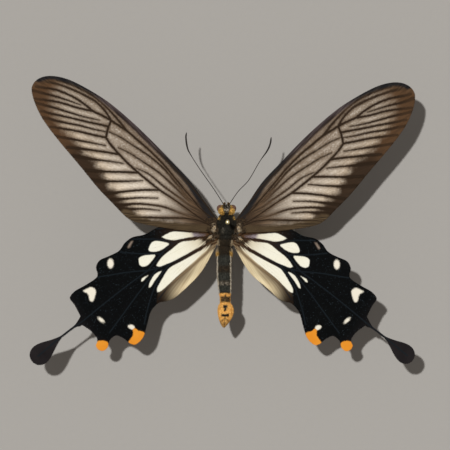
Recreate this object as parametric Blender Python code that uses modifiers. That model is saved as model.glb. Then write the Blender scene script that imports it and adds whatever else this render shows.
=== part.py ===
"""Common clubtail butterfly: a set specimen, wings spread, on its insect pin in a plain pinning block.

Frame: the pin's axis stands on the origin. +Y runs to the head, +X to the specimen's right wing,
+Z up, and z = 0 is the underside of the block. All sizes below are millimetres until MM makes them
metres. A place on a wing is written (out, forward): out from the body's midline, forward from the pin.
"""

import math

import bmesh
import bpy
import numpy as np
from mathutils import Matrix, Vector
from mathutils.geometry import delaunay_2d_cdt

MM = 0.001
GAP = 0.3  # clearance that two touching pieces keep

# Block and pin.
BLOCK_LENGTH, BLOCK_WIDTH, BLOCK_HEIGHT = 38.0, 9.5, 8.0
BLOCK_BEVEL = 0.6
BLOCK_BEHIND = 2.0  # the block reaches this much further back than forward of the pin
PIN_RADIUS = 0.3
PIN_LENGTH = 38.0
PIN_SUNK = 5.0  # how far the pin stands in the block
PIN_HEAD_RADIUS = 0.62
PIN_TOP = BLOCK_HEIGHT - PIN_SUNK + PIN_LENGTH

# Body.
BODY_X = -0.3  # the body's midline lies this far left of the pin
THORAX_Z = PIN_TOP - 14.4  # mid-height of the thorax, a third of the way down the pin
HEAD_Z = THORAX_Z + 0.5
# The body's middle line seen from above, as (y, x): it bows to the left behind the pin.
BODY_LINE = [(5.0, BODY_X), (-1.0, BODY_X), (-2.2, -0.36), (-5.0, -0.66), (-8.7, -0.93), (-12.0, -1.0),
             (-15.0, -1.0), (-17.6, -0.87), (-20.4, -0.72), (-23.6, -0.62), (-24.7, -0.5), (-26.0, -0.54),
             (-27.4, -0.75), (-28.8, -0.98), (-29.7, -1.1)]

# Head and eyes. A body row is (y, half-width, half-height, rise of the middle).
HEAD_ROWS = [(2.3, 1.3, 1.25, -0.1), (2.65, 1.55, 1.5, 0.0), (3.3, 1.7, 1.65, 0.0), (3.95, 1.5, 1.5, 0.0),
             (4.35, 1.1, 1.1, -0.05), (4.6, 0.6, 0.65, -0.1)]
EYE_RADII = (1.25, 1.3, 1.45)
EYE_OUT, EYE_Y = 1.42, 3.6

# Thorax: the collar, the domed mesothorax, the metathorax, and the plates over the forewings' roots.
COLLAR_ROWS = [(2.0, 1.35, 1.3, 0.3), (1.7, 1.75, 1.75, 0.2), (1.35, 1.95, 2.0, 0.15)]
DOME_ROWS = [(1.05, 2.05, 2.1, 0.1), (0.3, 2.4, 2.6, 0.0), (-0.9, 2.6, 2.9, 0.0), (-2.2, 2.55, 2.9, 0.0),
             (-3.4, 2.3, 2.65, 0.0), (-4.3, 2.0, 2.3, 0.1)]
METATHORAX_ROWS = [(-4.6, 1.95, 2.2, 0.0), (-5.2, 1.95, 2.15, 0.0), (-5.8, 1.85, 2.0, 0.0),
                   (-6.2, 1.7, 1.8, 0.0)]
TEGULA_PLACE, TEGULA_RADII = (2.3, -0.5, 2.3), (0.85, 1.5, 0.45)
TEGULA_SLOPE, TEGULA_TURN = math.radians(24), math.radians(12)

# Abdomen: the rear edge of each ring, its half-width, how it sags, and the tip inside the valves.
ABDOMEN_START, ABDOMEN_SAG = -6.5, 0.05
ABDOMEN_HALF_WIDTH = 1.88
SEGMENT_ENDS = [-6.5, -8.6, -11.4, -14.1, -16.6, -18.8, -20.7, -22.4]
RING_SWELL = [(0.0, 0.955), (0.25, 1.0), (0.93, 1.035)]
TIP_ROWS = [(0.0, 1.15), (0.35, 1.12), (0.7, 0.95), (0.9, 0.6), (1.0, 0.3)]
LAST_SEGMENT_END = -27.0

# The two valves at the end together: y, half-width, half-height. They part along a slightly slanted seam.
CLASPER_ROWS = [(-22.75, 1.55, 1.5), (-23.6, 2.1, 1.9), (-24.7, 2.35, 2.05), (-26.0, 2.2, 1.95),
                (-27.4, 1.7, 1.55), (-28.8, 0.9, 0.95), (-29.7, 0.25, 0.4)]
SEAM_X, SEAM_Y = -0.83, -26.2
SEAM_SLANT = math.radians(1.15)

# Feelers: seen from above they run through these places (x, y).
ANTENNA_LINES = {
    "left": [(-0.75, 3.9), (-1.25, 5.1), (-3.7, 9.0), (-7.7, 14.7), (-10.5, 19.1), (-11.3, 21.0),
             (-11.65, 23.6), (-11.5, 25.0)],
    "right": [(0.1, 3.9), (0.6, 5.1), (3.0, 8.6), (5.9, 11.7), (8.9, 16.8), (11.0, 19.8),
              (11.9, 21.8), (12.2, 23.7)],
}
ANTENNA_RADIUS, ANTENNA_CLUB = 0.26, 0.36
ANTENNA_LIFT, ANTENNA_RISE = 0.8, 1.6  # height of its root over the head's middle, and its rise from there

# Mouthparts, as places over the head's middle.
PALP_LINE = [(0.5, 3.8, -1.0), (0.6, 4.6, -1.45), (0.64, 5.05, -0.8), (0.52, 5.18, 0.0), (0.45, 5.1, 0.5)]
PALP_RADII = [0.28, 0.3, 0.3, 0.28, 0.18]
COIL_CENTRE_Y, COIL_CENTRE_Z = 3.25, -3.1
COIL_PITCH = 0.6
COIL_RADII = (0.22, 0.27)

# Each leg: coxa, trochanter, knee, end of the tibia, end of the foot, as (out, y, below mid-thorax).
LEGS = {
    "fore": ("prothorax", [(0.9, 1.7, 1.2), (1.15, 2.0, 3.0), (1.75, 3.6, 5.4), (1.5, -0.4, 6.6),
                           (1.1, -4.6, 7.8)]),
    "mid": ("thorax", [(1.0, -1.6, 2.2), (1.35, -1.9, 3.9), (3.4, 0.6, 4.9), (2.3, -3.6, 6.7),
                       (1.4, -8.0, 8.2)]),
    "hind": ("metathorax", [(0.9, -5.3, 1.2), (1.15, -5.6, 3.0), (1.45, -9.2, 4.2), (1.2, -13.4, 5.6),
                            (0.9, -17.6, 6.4)]),
}
LEG_RADII = [0.42, 0.36, 0.34, 0.27, 0.25]

# Wings.
WING_THICKNESS = 0.5
FOREWING_Z = THORAX_Z + 1.2
HINDWING_Z = FOREWING_Z - 1.2
WING_RISE, WING_ARCH = 0.055, 0.0004  # slope of a wing at its root, and how far it then levels out
REAR_DROOP, DROOP_START = 0.0015, 12.0  # the hindwing bends down behind this line
RIDGE_HALF_WIDTH = 0.38
RIDGE_HEIGHT_ROOT, RIDGE_HEIGHT_END = 0.24, 0.12
SIDES = {"left": -1, "right": 1}
# The right wings are spread a little lower than the left. Each row gives out, then forward, as its
# shift, its share of out and its share of forward.
SPREAD = {
    ("forewing", "left"): ((0.0, 1.006, 0.0), (0.0, 0.003, 1.0)),
    ("forewing", "right"): ((0.10, 0.977, -0.008), (0.0, -0.035, 0.984)),
    ("hindwing", "left"): ((0.0, 1.006, 0.0), (0.0, 0.0, 1.0)),
    ("hindwing", "right"): ((-0.66, 0.968, -0.023), (-0.48, 0.003, 0.992)),
    ("tail", "left"): ((0.55, 0.995, 0.0), (1.03, 0.0, 1.029)),
    ("tail", "right"): ((0.87, 0.930, -0.023), (-1.14, 0.003, 0.970)),
}
# The right forewing's front edge stands a little fuller, by this much at these distances out. Round one
# place the right hindwing's inner margin is folded further under, so that it lies further from the body.
FULLER_OUT, FULLER_BY, FULLER_WIDTH = (6.0, 22.0, 36.0, 48.0), (0.0, 0.4, 0.45, 0.7), 2.6
TUCK_OUT, TUCK_FORWARD, TUCK_AT, TUCK_WIDTH = 0.6, 0.4, (12.2, -19.0), 5.5

# Meshing of the wings: spacing of free points, of the outline and of the veins, and what is merged.
FILL_SPACING, EDGE_SPACING, VEIN_SPACING = 4.5, 2.6, 3.6
MERGE = 0.04

# The forewing's edge: costa, apex, termen, tornus and inner margin.
FOREWING_COSTA = [(1.5, 1.0), (2.8, 1.2), (6.3, 6.2), (10.2, 11.8), (15.5, 17.4), (20.9, 23.0),
                  (27.0, 28.8), (33.2, 33.9), (39.9, 38.0)]
FOREWING_APEX = [(44.8, 40.2), (49.2, 40.9), (52.3, 40.1), (54.0, 38.3), (54.2, 36.0), (53.1, 32.4)]
FOREWING_TERMEN = [(50.8, 28.0), (46.6, 22.4), (41.0, 15.7), (35.7, 9.2), (31.2, 4.5)]
FOREWING_INNER = [(27.9, 1.2), (24.8, -0.3), (19.7, -1.4), (13.0, -2.4), (6.0, -2.9), (3.5, -2.9),
                  (1.5, -2.7)]
FOREWING_EDGE = FOREWING_COSTA + FOREWING_APEX + FOREWING_TERMEN + FOREWING_INNER

# The hindwing's edge: costa, the rounded lobes and the dips between them, and the inner margin.
HINDWING_COSTA = [(1.5, -3.9), (3.5, -3.1), (6.0, -1.1), (10.2, 0.1), (15.3, 0.0), (19.5, -1.5),
                  (22.8, -3.3)]
HINDWING_LOBES = [(26.2, -4.1), (28.4, -5.7), (30.0, -7.9), (32.6, -9.3), (35.4, -10.6), (36.4, -12.6),
                  (36.1, -15.1), (38.8, -17.2), (42.4, -19.3), (43.7, -21.3), (42.3, -23.4), (40.8, -26.3)]
TAIL_ROOT_FRONT, TAIL_ROOT_REAR = (41.0, -27.5), (40.1, -29.0)
HINDWING_REAR = [(37.7, -30.7), (36.1, -32.8), (36.4, -34.6), (35.7, -35.8), (34.3, -36.2), (33.0, -35.1),
                 (32.5, -33.3), (30.8, -31.9), (28.7, -32.7), (26.7, -34.2), (25.1, -34.3), (23.1, -32.3),
                 (22.0, -28.8), (21.0, -25.2), (18.9, -22.8)]
HINDWING_INNER = [(16.4, -22.2), (14.1, -21.1), (10.2, -17.6), (7.4, -14.6), (5.2, -11.2), (3.4, -7.8),
                  (2.4, -6.1), (1.5, -5.9)]
HINDWING_FRONT_EDGE = HINDWING_COSTA + HINDWING_LOBES + [TAIL_ROOT_FRONT]
HINDWING_REAR_EDGE = [TAIL_ROOT_REAR] + HINDWING_REAR + HINDWING_INNER

# The club-ended tail: its middle line, the half-width of its stalk, and its round club.
TAIL_LINE = [(40.95, -28.5), (43.8, -30.6), (46.6, -32.7), (49.4, -35.0), (52.0, -37.1)]
STALK_HALF_WIDTH = 0.42
CLUB_RADIUS = 2.95
CLUB_TAPER = 1.9  # how many club radii the swelling into the club takes

FOREWING_VEINS = {
    "subcosta": [(2.7, 0.6), (9.7, 9.8), (20.0, 20.6), (31.2, 31.0)],
    "radial_stem": [(2.7, 0.3), (10.2, 7.3), (20.9, 19.5), (32.1, 28.3)],
    "radial_2": [(27.6, 25.3), (36.3, 34.6), (47.2, 39.4)],
    "radial_3": [(32.1, 28.3), (36.3, 33.5), (43.3, 37.1), (50.0, 38.9)],
    "radial_4": [(32.1, 28.3), (37.1, 30.9), (43.3, 35.2), (52.6, 37.5)],
    "radial_5": [(37.1, 30.9), (45.2, 33.0), (53.0, 34.0)],
    "cell_end": [(32.1, 28.3), (33.0, 26.0), (33.5, 23.5)],
    "medial_1": [(32.8, 26.6), (43.8, 29.1), (51.6, 30.6)],
    "medial_2": [(33.5, 23.5), (41.0, 25.2), (48.9, 26.4)],
    "medial_3": [(29.8, 18.8), (36.8, 19.9), (44.1, 20.7)],
    "cubital_stem": [(2.7, -1.1), (11.6, 4.1), (22.0, 11.6), (29.8, 18.8), (33.5, 23.5)],
    "cubital_1": [(24.5, 13.7), (32.0, 14.0), (38.9, 14.3)],
    "cubital_2": [(18.6, 8.9), (27.0, 8.6), (34.0, 7.8)],
    "anal": [(2.7, -2.0), (7.4, 0.3), (15.0, 1.1), (26.7, 1.1)],
}
HINDWING_VEINS = {
    "subcosta": [(3.5, -4.0), (10.0, -1.6), (18.6, -2.1)],
    "radial_stem": [(2.4, -4.5), (8.8, -4.4), (14.7, -6.0), (21.8, -13.6)],
    "radial_sector": [(14.7, -6.0), (20.0, -4.8), (25.8, -4.9)],
    "cubital_stem": [(2.4, -5.2), (7.4, -7.6), (15.5, -11.5), (21.8, -13.6)],
    "medial_1": [(17.8, -9.0), (23.5, -8.9), (29.3, -8.4)],
    "medial_2": [(21.8, -13.6), (28.5, -14.2), (35.5, -15.6)],
    "medial_3": [(21.8, -13.6), (30.1, -19.7), (39.6, -27.2)],
    "cubital_1": [(19.2, -12.9), (25.9, -21.8), (34.2, -34.4)],
    "cubital_2": [(15.5, -11.5), (20.3, -19.0), (23.6, -31.6)],
    "anal": [(2.4, -5.7), (7.4, -10.4), (13.6, -15.7), (19.2, -22.0)],
}

MATERIALS = {
    "wing_smoky": ((0.23, 0.17, 0.12), 0.55, 0.0),
    "wing_black": ((0.012, 0.012, 0.015), 0.55, 0.0),
    "cuticle_black": ((0.014, 0.014, 0.013), 0.4, 0.0),
    "cuticle_orange": ((0.80, 0.38, 0.06), 0.5, 0.0),
    "eye_brown": ((0.10, 0.035, 0.02), 0.2, 0.0),
    "pin_brass": ((0.80, 0.68, 0.36), 0.25, 1.0),
    "block_grey": ((0.42, 0.41, 0.38), 0.8, 0.0),
}


def clear_scene():
    for obj in list(bpy.data.objects):
        bpy.data.objects.remove(obj)


def new_collection(name):
    collection = bpy.data.collections.new(name)
    bpy.context.scene.collection.children.link(collection)
    return collection


def make_materials():
    made = {}
    for name, (colour, roughness, metallic) in MATERIALS.items():
        material = bpy.data.materials.new(name)
        material.use_nodes = True
        shader = material.node_tree.nodes["Principled BSDF"]
        shader.inputs["Base Color"].default_value = (*colour, 1.0)
        shader.inputs["Roughness"].default_value = roughness
        shader.inputs["Metallic"].default_value = metallic
        material.diffuse_color = (*colour, 1.0)
        made[name] = material
    return made


def add_object(name, mesh, material=None, collection=None):
    """A named object in the specimen's collection, or in another one."""
    obj = bpy.data.objects.new(name, mesh)
    (collection or SPECIMEN).objects.link(obj)
    if material:
        mesh.materials.append(MADE[material])
    return obj


def mesh_of(name, points, faces):
    """A mesh from points in millimetres."""
    mesh = bpy.data.meshes.new(name)
    mesh.from_pydata([tuple(p * MM for p in point) for point in points], [], [list(f) for f in faces])
    mesh.update()
    return mesh


def smooth_line(points, spacing):
    """Points about `spacing` apart on a Catmull-Rom curve through the given ones."""
    given = np.array(points, float)
    ends = np.vstack([2 * given[0] - given[1], given, 2 * given[-1] - given[-2]])
    found = []
    for before, start, stop, after in zip(ends, ends[1:], ends[2:], ends[3:]):
        count = max(1, round(np.linalg.norm(stop - start) / spacing))
        t = (np.arange(count) / count)[:, None]
        found.append(0.5 * (2 * start + (stop - before) * t
                            + (2 * before - 5 * start + 4 * stop - after) * t**2
                            + (3 * start - before - 3 * stop + after) * t**3))
    return np.vstack([*found, given[-1:]])


def side_directions(line):
    """The unit vector to the left of a line at each of its points."""
    along = np.gradient(line, axis=0)
    along /= np.linalg.norm(along, axis=1)[:, None]
    return np.column_stack([-along[:, 1], along[:, 0]])


def distance_to_line(points, line):
    """Each point's distance to a polyline, and how far along it the nearest place lies, from 0 to 1."""
    best = np.full(len(points), np.inf)
    share = np.zeros(len(points))
    for i, (start, stop) in enumerate(zip(line, line[1:])):
        run = stop - start
        t = np.clip((points - start) @ run / (run @ run), 0, 1)
        away = np.linalg.norm(points - start - t[:, None] * run, axis=1)
        nearer = away < best
        best[nearer] = away[nearer]
        share[nearer] = (i + t[nearer]) / (len(line) - 1)
    return best, share


def is_inside(points, edge):
    """Whether each point lies within a closed outline, by the crossing rule."""
    found = np.zeros(len(points), bool)
    for start, stop in zip(edge, np.roll(edge, -1, axis=0)):
        crosses = (start[1] > points[:, 1]) != (stop[1] > points[:, 1])
        if crosses.any():
            slope = (stop[0] - start[0]) / (stop[1] - start[1] + 1e-12)
            across = start[0] + (points[:, 1] - start[1]) * slope
            found ^= crosses & (points[:, 0] < across)
    return found


def wing_height(points):
    """Rise of a wing's middle surface above its root at (out, forward): a shallow arch, drooping behind."""
    out = np.maximum(points[:, 0] - 2.5, 0)
    behind = np.maximum(-points[:, 1] - DROOP_START, 0)
    return WING_RISE * out - WING_ARCH * out**2 - REAR_DROOP * behind**2


def spread_wing(points, side, kind):
    """Places (out, forward) as this wing is spread, with what only the right wings have."""
    out, forward = (row[0] + points @ row[1:] for row in SPREAD[kind, side])
    if (kind, side) == ("forewing", "right"):
        costa = smooth_line(FOREWING_COSTA + FOREWING_APEX[:4], EDGE_SPACING)
        near = np.exp(-((distance_to_line(points, costa)[0] / FULLER_WIDTH) ** 2))
        forward = forward + near * np.interp(points[:, 0], FULLER_OUT, FULLER_BY)
    if (kind, side) == ("hindwing", "right"):
        near = np.exp(-((np.linalg.norm(points - TUCK_AT, axis=1) / TUCK_WIDTH) ** 2))
        out = out + TUCK_OUT * near
        forward = forward + TUCK_FORWARD * near
    return out, forward


def ridge_height(points, veins):
    """Height of the veins above the membrane: each is a tent along its line, lower towards its end."""
    highest = np.zeros(len(points))
    for line in veins:
        away, share = distance_to_line(points, line)
        crest = RIDGE_HEIGHT_ROOT + (RIDGE_HEIGHT_END - RIDGE_HEIGHT_ROOT) * share
        highest = np.maximum(highest, crest * np.maximum(0, 1 - away / RIDGE_HALF_WIDTH))
    return highest


def fill_points(edge, veins, spacing):
    """Points on a grid inside the outline, clear of its edge and of the veins."""
    low, high = edge.min(0), edge.max(0)
    grid = np.stack(np.meshgrid(np.arange(low[0], high[0], spacing),
                                np.arange(low[1], high[1], spacing)), -1).reshape(-1, 2)
    clear = is_inside(grid, edge)
    for line in [np.vstack([edge, edge[:1]]), *veins]:
        clear &= distance_to_line(grid, line)[0] > 0.45 * spacing
    return grid[clear]


def wing_triangles(edge, veins):
    """Triangles of the flat wing whose edges keep its outline and both sides and the crest of each vein."""
    points = [*edge]
    edges = [(i, (i + 1) % len(edge)) for i in range(len(edge))]
    for line in veins:
        beside = side_directions(line) * RIDGE_HALF_WIDTH
        for lane in (line, line + beside, line - beside):
            edges += [(len(points) + i, len(points) + i + 1) for i in range(len(lane) - 1)]
            points += [*lane]
    points += [*fill_points(edge, veins, FILL_SPACING)]
    found = delaunay_2d_cdt([Vector(p) for p in points], edges, [list(range(len(edge)))], 1, MERGE)
    return np.array([tuple(p) for p in found[0]]), np.array([tuple(f) for f in found[2]])


def wing_solid(name, edge, veins, side, kind, base_z, material):
    """A wing as one closed plate: alike triangles on both faces, raised along the veins, and a rim."""
    points, faces = wing_triangles(edge, veins)
    middle = base_z + wing_height(points)
    ridge = ridge_height(points, veins)
    out, forward = spread_wing(points, side, kind)
    x = BODY_X + SIDES[side] * out
    upper = np.column_stack([x, forward, middle + WING_THICKNESS / 2 + ridge])
    lower = np.column_stack([x, forward, middle - WING_THICKNESS / 2 - ridge / 2])
    corners = upper[faces][:, :, :2]
    turn = np.cross(corners[:, 1] - corners[:, 0], corners[:, 2] - corners[:, 0])
    faces = np.where((turn > 0)[:, None], faces, faces[:, ::-1])
    count = len(points)
    directed = {(a, b) for face in faces.tolist() for a, b in zip(face, face[1:] + face[:1])}
    rim = [(a, b) for a, b in directed if (b, a) not in directed]
    all_faces = faces.tolist() + (faces[:, ::-1] + count).tolist()
    for a, b in sorted(rim):
        all_faces += [[b, a, a + count], [b, a + count, b + count]]
    return add_object(name, mesh_of(name, np.vstack([upper, lower]), all_faces), material)


def tail_edge():
    """The tail's outline: a stalk that swells into a round club, as a half-width along the middle line."""
    line = smooth_line(TAIL_LINE, 1.1)
    beside = side_directions(line)
    length = np.concatenate([[0], np.cumsum(np.linalg.norm(np.diff(line, axis=0), axis=1))])
    to_club = (length[-1] - length) / CLUB_RADIUS
    half = np.maximum(STALK_HALF_WIDTH, CLUB_RADIUS * np.exp(-((to_club / CLUB_TAPER) ** 2)))
    front = line + beside * half[:, None]
    rear = line - beside * half[:, None]
    heading = math.atan2(*(line[-1] - line[-2])[::-1])
    turns = np.linspace(math.pi / 2, -math.pi / 2, 11)[1:-1] + heading
    club = line[-1] + CLUB_RADIUS * np.column_stack([np.cos(turns), np.sin(turns)])
    return np.vstack([front, club, rear[::-1]])


def make_forewing(side):
    veins = [smooth_line(line, VEIN_SPACING) for line in FOREWING_VEINS.values()]
    edge = smooth_line(FOREWING_EDGE, EDGE_SPACING)
    wing = wing_solid(f"forewing_{side}", edge, veins, side, "forewing", FOREWING_Z, "wing_smoky")
    keep_clear(wing, "thorax")


def make_hindwing(side):
    veins = [smooth_line(line, VEIN_SPACING) for line in HINDWING_VEINS.values()]
    edge = np.vstack([smooth_line(HINDWING_FRONT_EDGE, EDGE_SPACING * 0.8),
                      smooth_line(HINDWING_REAR_EDGE, EDGE_SPACING * 0.8)])
    wing = wing_solid(f"hindwing_{side}", edge, veins, side, "hindwing", HINDWING_Z, "wing_black")
    keep_clear(wing, "thorax")
    keep_clear(wing, "metathorax")
    keep_clear(wing, "abdomen")


def make_tail(side):
    """The tail leaves the hindwing at its root, with the usual gap between the two."""
    crest = smooth_line(TAIL_LINE, 2.2)[1:-1]
    wing_solid(f"tail_{side}", tail_edge(), [crest], side, "tail", HINDWING_Z, "wing_black")


def loft(name, stations, material, around=16):
    """A closed skin over oval rings. A station is (y, centre x, centre z, half-width, half-height)."""
    turns = 2 * math.pi * np.arange(around) / around
    points = [(x + wide * math.cos(t), y, z + tall * math.sin(t))
              for y, x, z, wide, tall in stations for t in turns]
    faces = []
    for first in range(0, (len(stations) - 1) * around, around):
        for i in range(around):
            after = (i + 1) % around
            faces.append([first + i, first + around + i, first + around + after, first + after])
    last = (len(stations) - 1) * around
    faces += [list(range(around)), [last + i for i in reversed(range(around))]]
    mesh = mesh_of(name, points, faces)
    outward(mesh)
    obj = add_object(name, mesh, material)
    mesh.shade_smooth()
    return obj


def outward(mesh):
    """Turns every face of a closed mesh to point out."""
    work = bmesh.new()
    work.from_mesh(mesh)
    bmesh.ops.recalc_face_normals(work, faces=work.faces)
    work.to_mesh(mesh)
    work.free()


def ball(name, centre, radii, material, segments=16, rings=10):
    """An ellipsoid with its poles up and down."""
    work = bmesh.new()
    bmesh.ops.create_uvsphere(work, u_segments=segments, v_segments=rings, radius=1.0)
    bmesh.ops.scale(work, vec=[r * MM for r in radii], verts=work.verts)
    mesh = bpy.data.meshes.new(name)
    work.to_mesh(mesh)
    work.free()
    mesh.shade_smooth()
    obj = add_object(name, mesh, material)
    obj.location = [c * MM for c in centre]
    return obj


def tube(name, points, radii, material, resolution=1):
    """A round limb along points, with its own radius at each, as one welded mesh."""
    curve = bpy.data.curves.new(name, "CURVE")
    curve.dimensions = "3D"
    curve.bevel_depth = MM
    curve.bevel_resolution = resolution
    curve.use_fill_caps = True
    spline = curve.splines.new("POLY")
    spline.points.add(len(points) - 1)
    for target, place, radius in zip(spline.points, points, radii):
        target.co = (*[p * MM for p in place], 1.0)
        target.radius = radius
    guide = bpy.data.objects.new(name + "_line", curve)
    SPECIMEN.objects.link(guide)
    graph = bpy.context.evaluated_depsgraph_get()
    mesh = bpy.data.meshes.new_from_object(guide.evaluated_get(graph))
    bpy.data.objects.remove(guide)
    work = bmesh.new()
    work.from_mesh(mesh)
    bmesh.ops.remove_doubles(work, verts=work.verts, dist=0.00001)
    bmesh.ops.recalc_face_normals(work, faces=work.faces)
    work.to_mesh(mesh)
    work.free()
    mesh.name = name
    mesh.materials.clear()
    mesh.shade_smooth()
    return add_object(name, mesh, material)


def grown_copy(name):
    """A cutter: the named piece with its surface moved out by the gap."""
    cutter_name = f"room_{name}"
    if cutter_name in bpy.data.objects:
        return bpy.data.objects[cutter_name]
    source = bpy.data.objects[name]
    mesh = source.data.copy()
    mesh.name = cutter_name
    for vertex, normal in zip(mesh.vertices, [n.vector.copy() for n in mesh.vertex_normals]):
        vertex.co += normal * GAP * MM
    cutter = add_object(cutter_name, mesh, collection=CUTTERS)
    cutter.location = source.location
    cutter.hide_render = True
    cutter.display_type = "WIRE"
    return cutter


def keep_clear(obj, name):
    """Cuts away what would come within the gap of the named piece."""
    modifier = obj.modifiers.new(f"clear_of_{name}", "BOOLEAN")
    modifier.operation = "DIFFERENCE"
    modifier.object = grown_copy(name)


def block_of(name, size, centre, collection):
    """A block of that size, its centre at the given place, in the given collection."""
    bpy.ops.mesh.primitive_cube_add(size=1, location=[c * MM for c in centre])
    block = bpy.context.active_object
    block.name = name
    block.data.transform(Matrix.Diagonal([*[s * MM for s in size], 1.0]))
    for old in list(block.users_collection):
        old.objects.unlink(block)
    collection.objects.link(block)
    return block


def body_x(y):
    """How far right the body's middle line lies at y."""
    rearward = [-place for place, _ in BODY_LINE]
    return float(np.interp(-y, rearward, [x for _, x in BODY_LINE]))


def body_stations(rows, centre_z):
    """Loft stations from rows of (y, half-width, half-height, rise of the middle)."""
    return [(y, body_x(y), centre_z + rise, wide, tall) for y, wide, tall, rise in rows]


def make_head():
    loft("head", body_stations(HEAD_ROWS, HEAD_Z), "cuticle_black")


def make_eye(side):
    centre = (BODY_X + SIDES[side] * EYE_OUT, EYE_Y, HEAD_Z)
    ball(f"eye_{side}", centre, EYE_RADII, "eye_brown")
    keep_clear(bpy.data.objects["head"], f"eye_{side}")


def make_thorax():
    """The collar, the domed mesothorax, and the metathorax behind it."""
    loft("prothorax", body_stations(COLLAR_ROWS, THORAX_Z), "cuticle_black")
    thorax = loft("thorax", body_stations(DOME_ROWS, THORAX_Z), "cuticle_black", around=20)
    loft("metathorax", body_stations(METATHORAX_ROWS, THORAX_Z), "cuticle_black")
    grown_copy("thorax")
    bore = pin_bore()
    modifier = thorax.modifiers.new("pin_hole", "BOOLEAN")
    modifier.operation = "DIFFERENCE"
    modifier.object = bore


def abdomen_width(y):
    """Half-width of the abdomen: nearly even, drawn in at its root and tapering to the last segment."""
    root = 1.0 - 0.16 * math.exp(-(y - ABDOMEN_START) ** 2 / 0.7)
    taper = 1.0 - 0.22 * np.clip((-y - 14.0) / 8.5, 0, 1) ** 1.5
    return ABDOMEN_HALF_WIDTH * root * taper


def make_abdomen():
    """Seven rings, each swelling a little towards its rear edge and stepping in behind it, then the tip."""
    rows = []
    for front, rear in zip(SEGMENT_ENDS, SEGMENT_ENDS[1:]):
        for share, swell in RING_SWELL:
            y = front + (rear - front) * share
            rows.append((y, abdomen_width(y) * swell))
    for share, wide in TIP_ROWS:
        rows.append((SEGMENT_ENDS[-1] + (LAST_SEGMENT_END - SEGMENT_ENDS[-1]) * share, wide))
    stations = []
    for y, wide in rows:
        tip_lift = 0.35 if y < SEGMENT_ENDS[-1] else 0.0
        middle = THORAX_Z - ABDOMEN_SAG * (ABDOMEN_START - y) + tip_lift
        stations.append((y, body_x(y), middle, wide, wide * 1.05))
    loft("abdomen", stations, "cuticle_black")


def make_clasper(side):
    """One of the two big valves that close round the abdomen's tip, parted along the midline."""
    stations = [(y, body_x(y), THORAX_Z - ABDOMEN_SAG * (ABDOMEN_START - y) - 0.25, wide, tall)
                for y, wide, tall in CLASPER_ROWS]
    clasper = loft(f"clasper_{side}", stations, "cuticle_orange")
    centre = (SEAM_X - SIDES[side] * (4.0 - GAP / 2), SEAM_Y, THORAX_Z)
    cutter = block_of(f"midline_{side}", (8.0, 12.0, 12.0), centre, CUTTERS)
    cutter.hide_render = True
    cutter.display_type = "WIRE"
    cutter.rotation_euler[2] = -SEAM_SLANT
    modifier = clasper.modifiers.new("midline", "BOOLEAN")
    modifier.operation = "DIFFERENCE"
    modifier.object = cutter
    keep_clear(clasper, "abdomen")


def pin_bore():
    """The hole that the pin leaves free round its shaft."""
    work = bmesh.new()
    bmesh.ops.create_cone(work, cap_ends=True, segments=12, radius1=(PIN_RADIUS + GAP) * MM,
                          radius2=(PIN_RADIUS + GAP) * MM, depth=PIN_LENGTH * MM)
    mesh = bpy.data.meshes.new("pin_bore")
    work.to_mesh(mesh)
    work.free()
    bore = add_object("pin_bore", mesh, collection=CUTTERS)
    bore.location = (0, 0, (PIN_TOP - PIN_LENGTH / 2 - GAP) * MM)
    bore.hide_render = True
    bore.display_type = "WIRE"
    return bore


def make_tegula(side):
    """The scale-like plate over the root of the forewing."""
    sign = SIDES[side]
    out, y, rise = TEGULA_PLACE
    centre = (BODY_X + sign * out, y, THORAX_Z + rise)
    tegula = ball(f"tegula_{side}", centre, TEGULA_RADII, "cuticle_black", 12, 8)
    tegula.rotation_euler = (0.0, sign * TEGULA_SLOPE, -sign * TEGULA_TURN)
    keep_clear(tegula, "thorax")


def make_antenna(side):
    """A thread that thickens slowly into a slim club, held nearly level."""
    line = smooth_line(ANTENNA_LINES[side], 1.6)
    share = np.linspace(0, 1, len(line))
    z = HEAD_Z + ANTENNA_LIFT + ANTENNA_RISE * share
    club = np.clip((share - 0.72) / 0.12, 0, 1)
    radii = ANTENNA_RADIUS + (ANTENNA_CLUB - ANTENNA_RADIUS) * club
    radii[-1] = 0.15
    antenna = tube(f"antenna_{side}", np.column_stack([line, z]), radii, "cuticle_black")
    keep_clear(antenna, "head")


def make_palp(side):
    """A short feeler that curves up in front of the face."""
    points = [(BODY_X + SIDES[side] * x, y, HEAD_Z + z) for x, y, z in PALP_LINE]
    palp = tube(f"palp_{side}", points, PALP_RADII, "cuticle_black", 2)
    keep_clear(palp, "head")


def make_proboscis():
    """The tongue, rolled like a watch spring under the head and rising into it in front of the coil."""
    turn = np.linspace(math.pi, 4 * math.pi, 21)
    radius = COIL_PITCH * turn / (2 * math.pi)
    y = [*(COIL_CENTRE_Y + radius * np.cos(turn)), COIL_CENTRE_Y + radius[-1], COIL_CENTRE_Y + 0.8]
    z = [*(COIL_CENTRE_Z + radius * np.sin(turn)), -2.0, -0.9]
    points = [(BODY_X, along, HEAD_Z + up) for along, up in zip(y, z)]
    proboscis = tube("proboscis", points, np.linspace(*COIL_RADII, len(points)), "cuticle_black")
    keep_clear(proboscis, "head")


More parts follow.
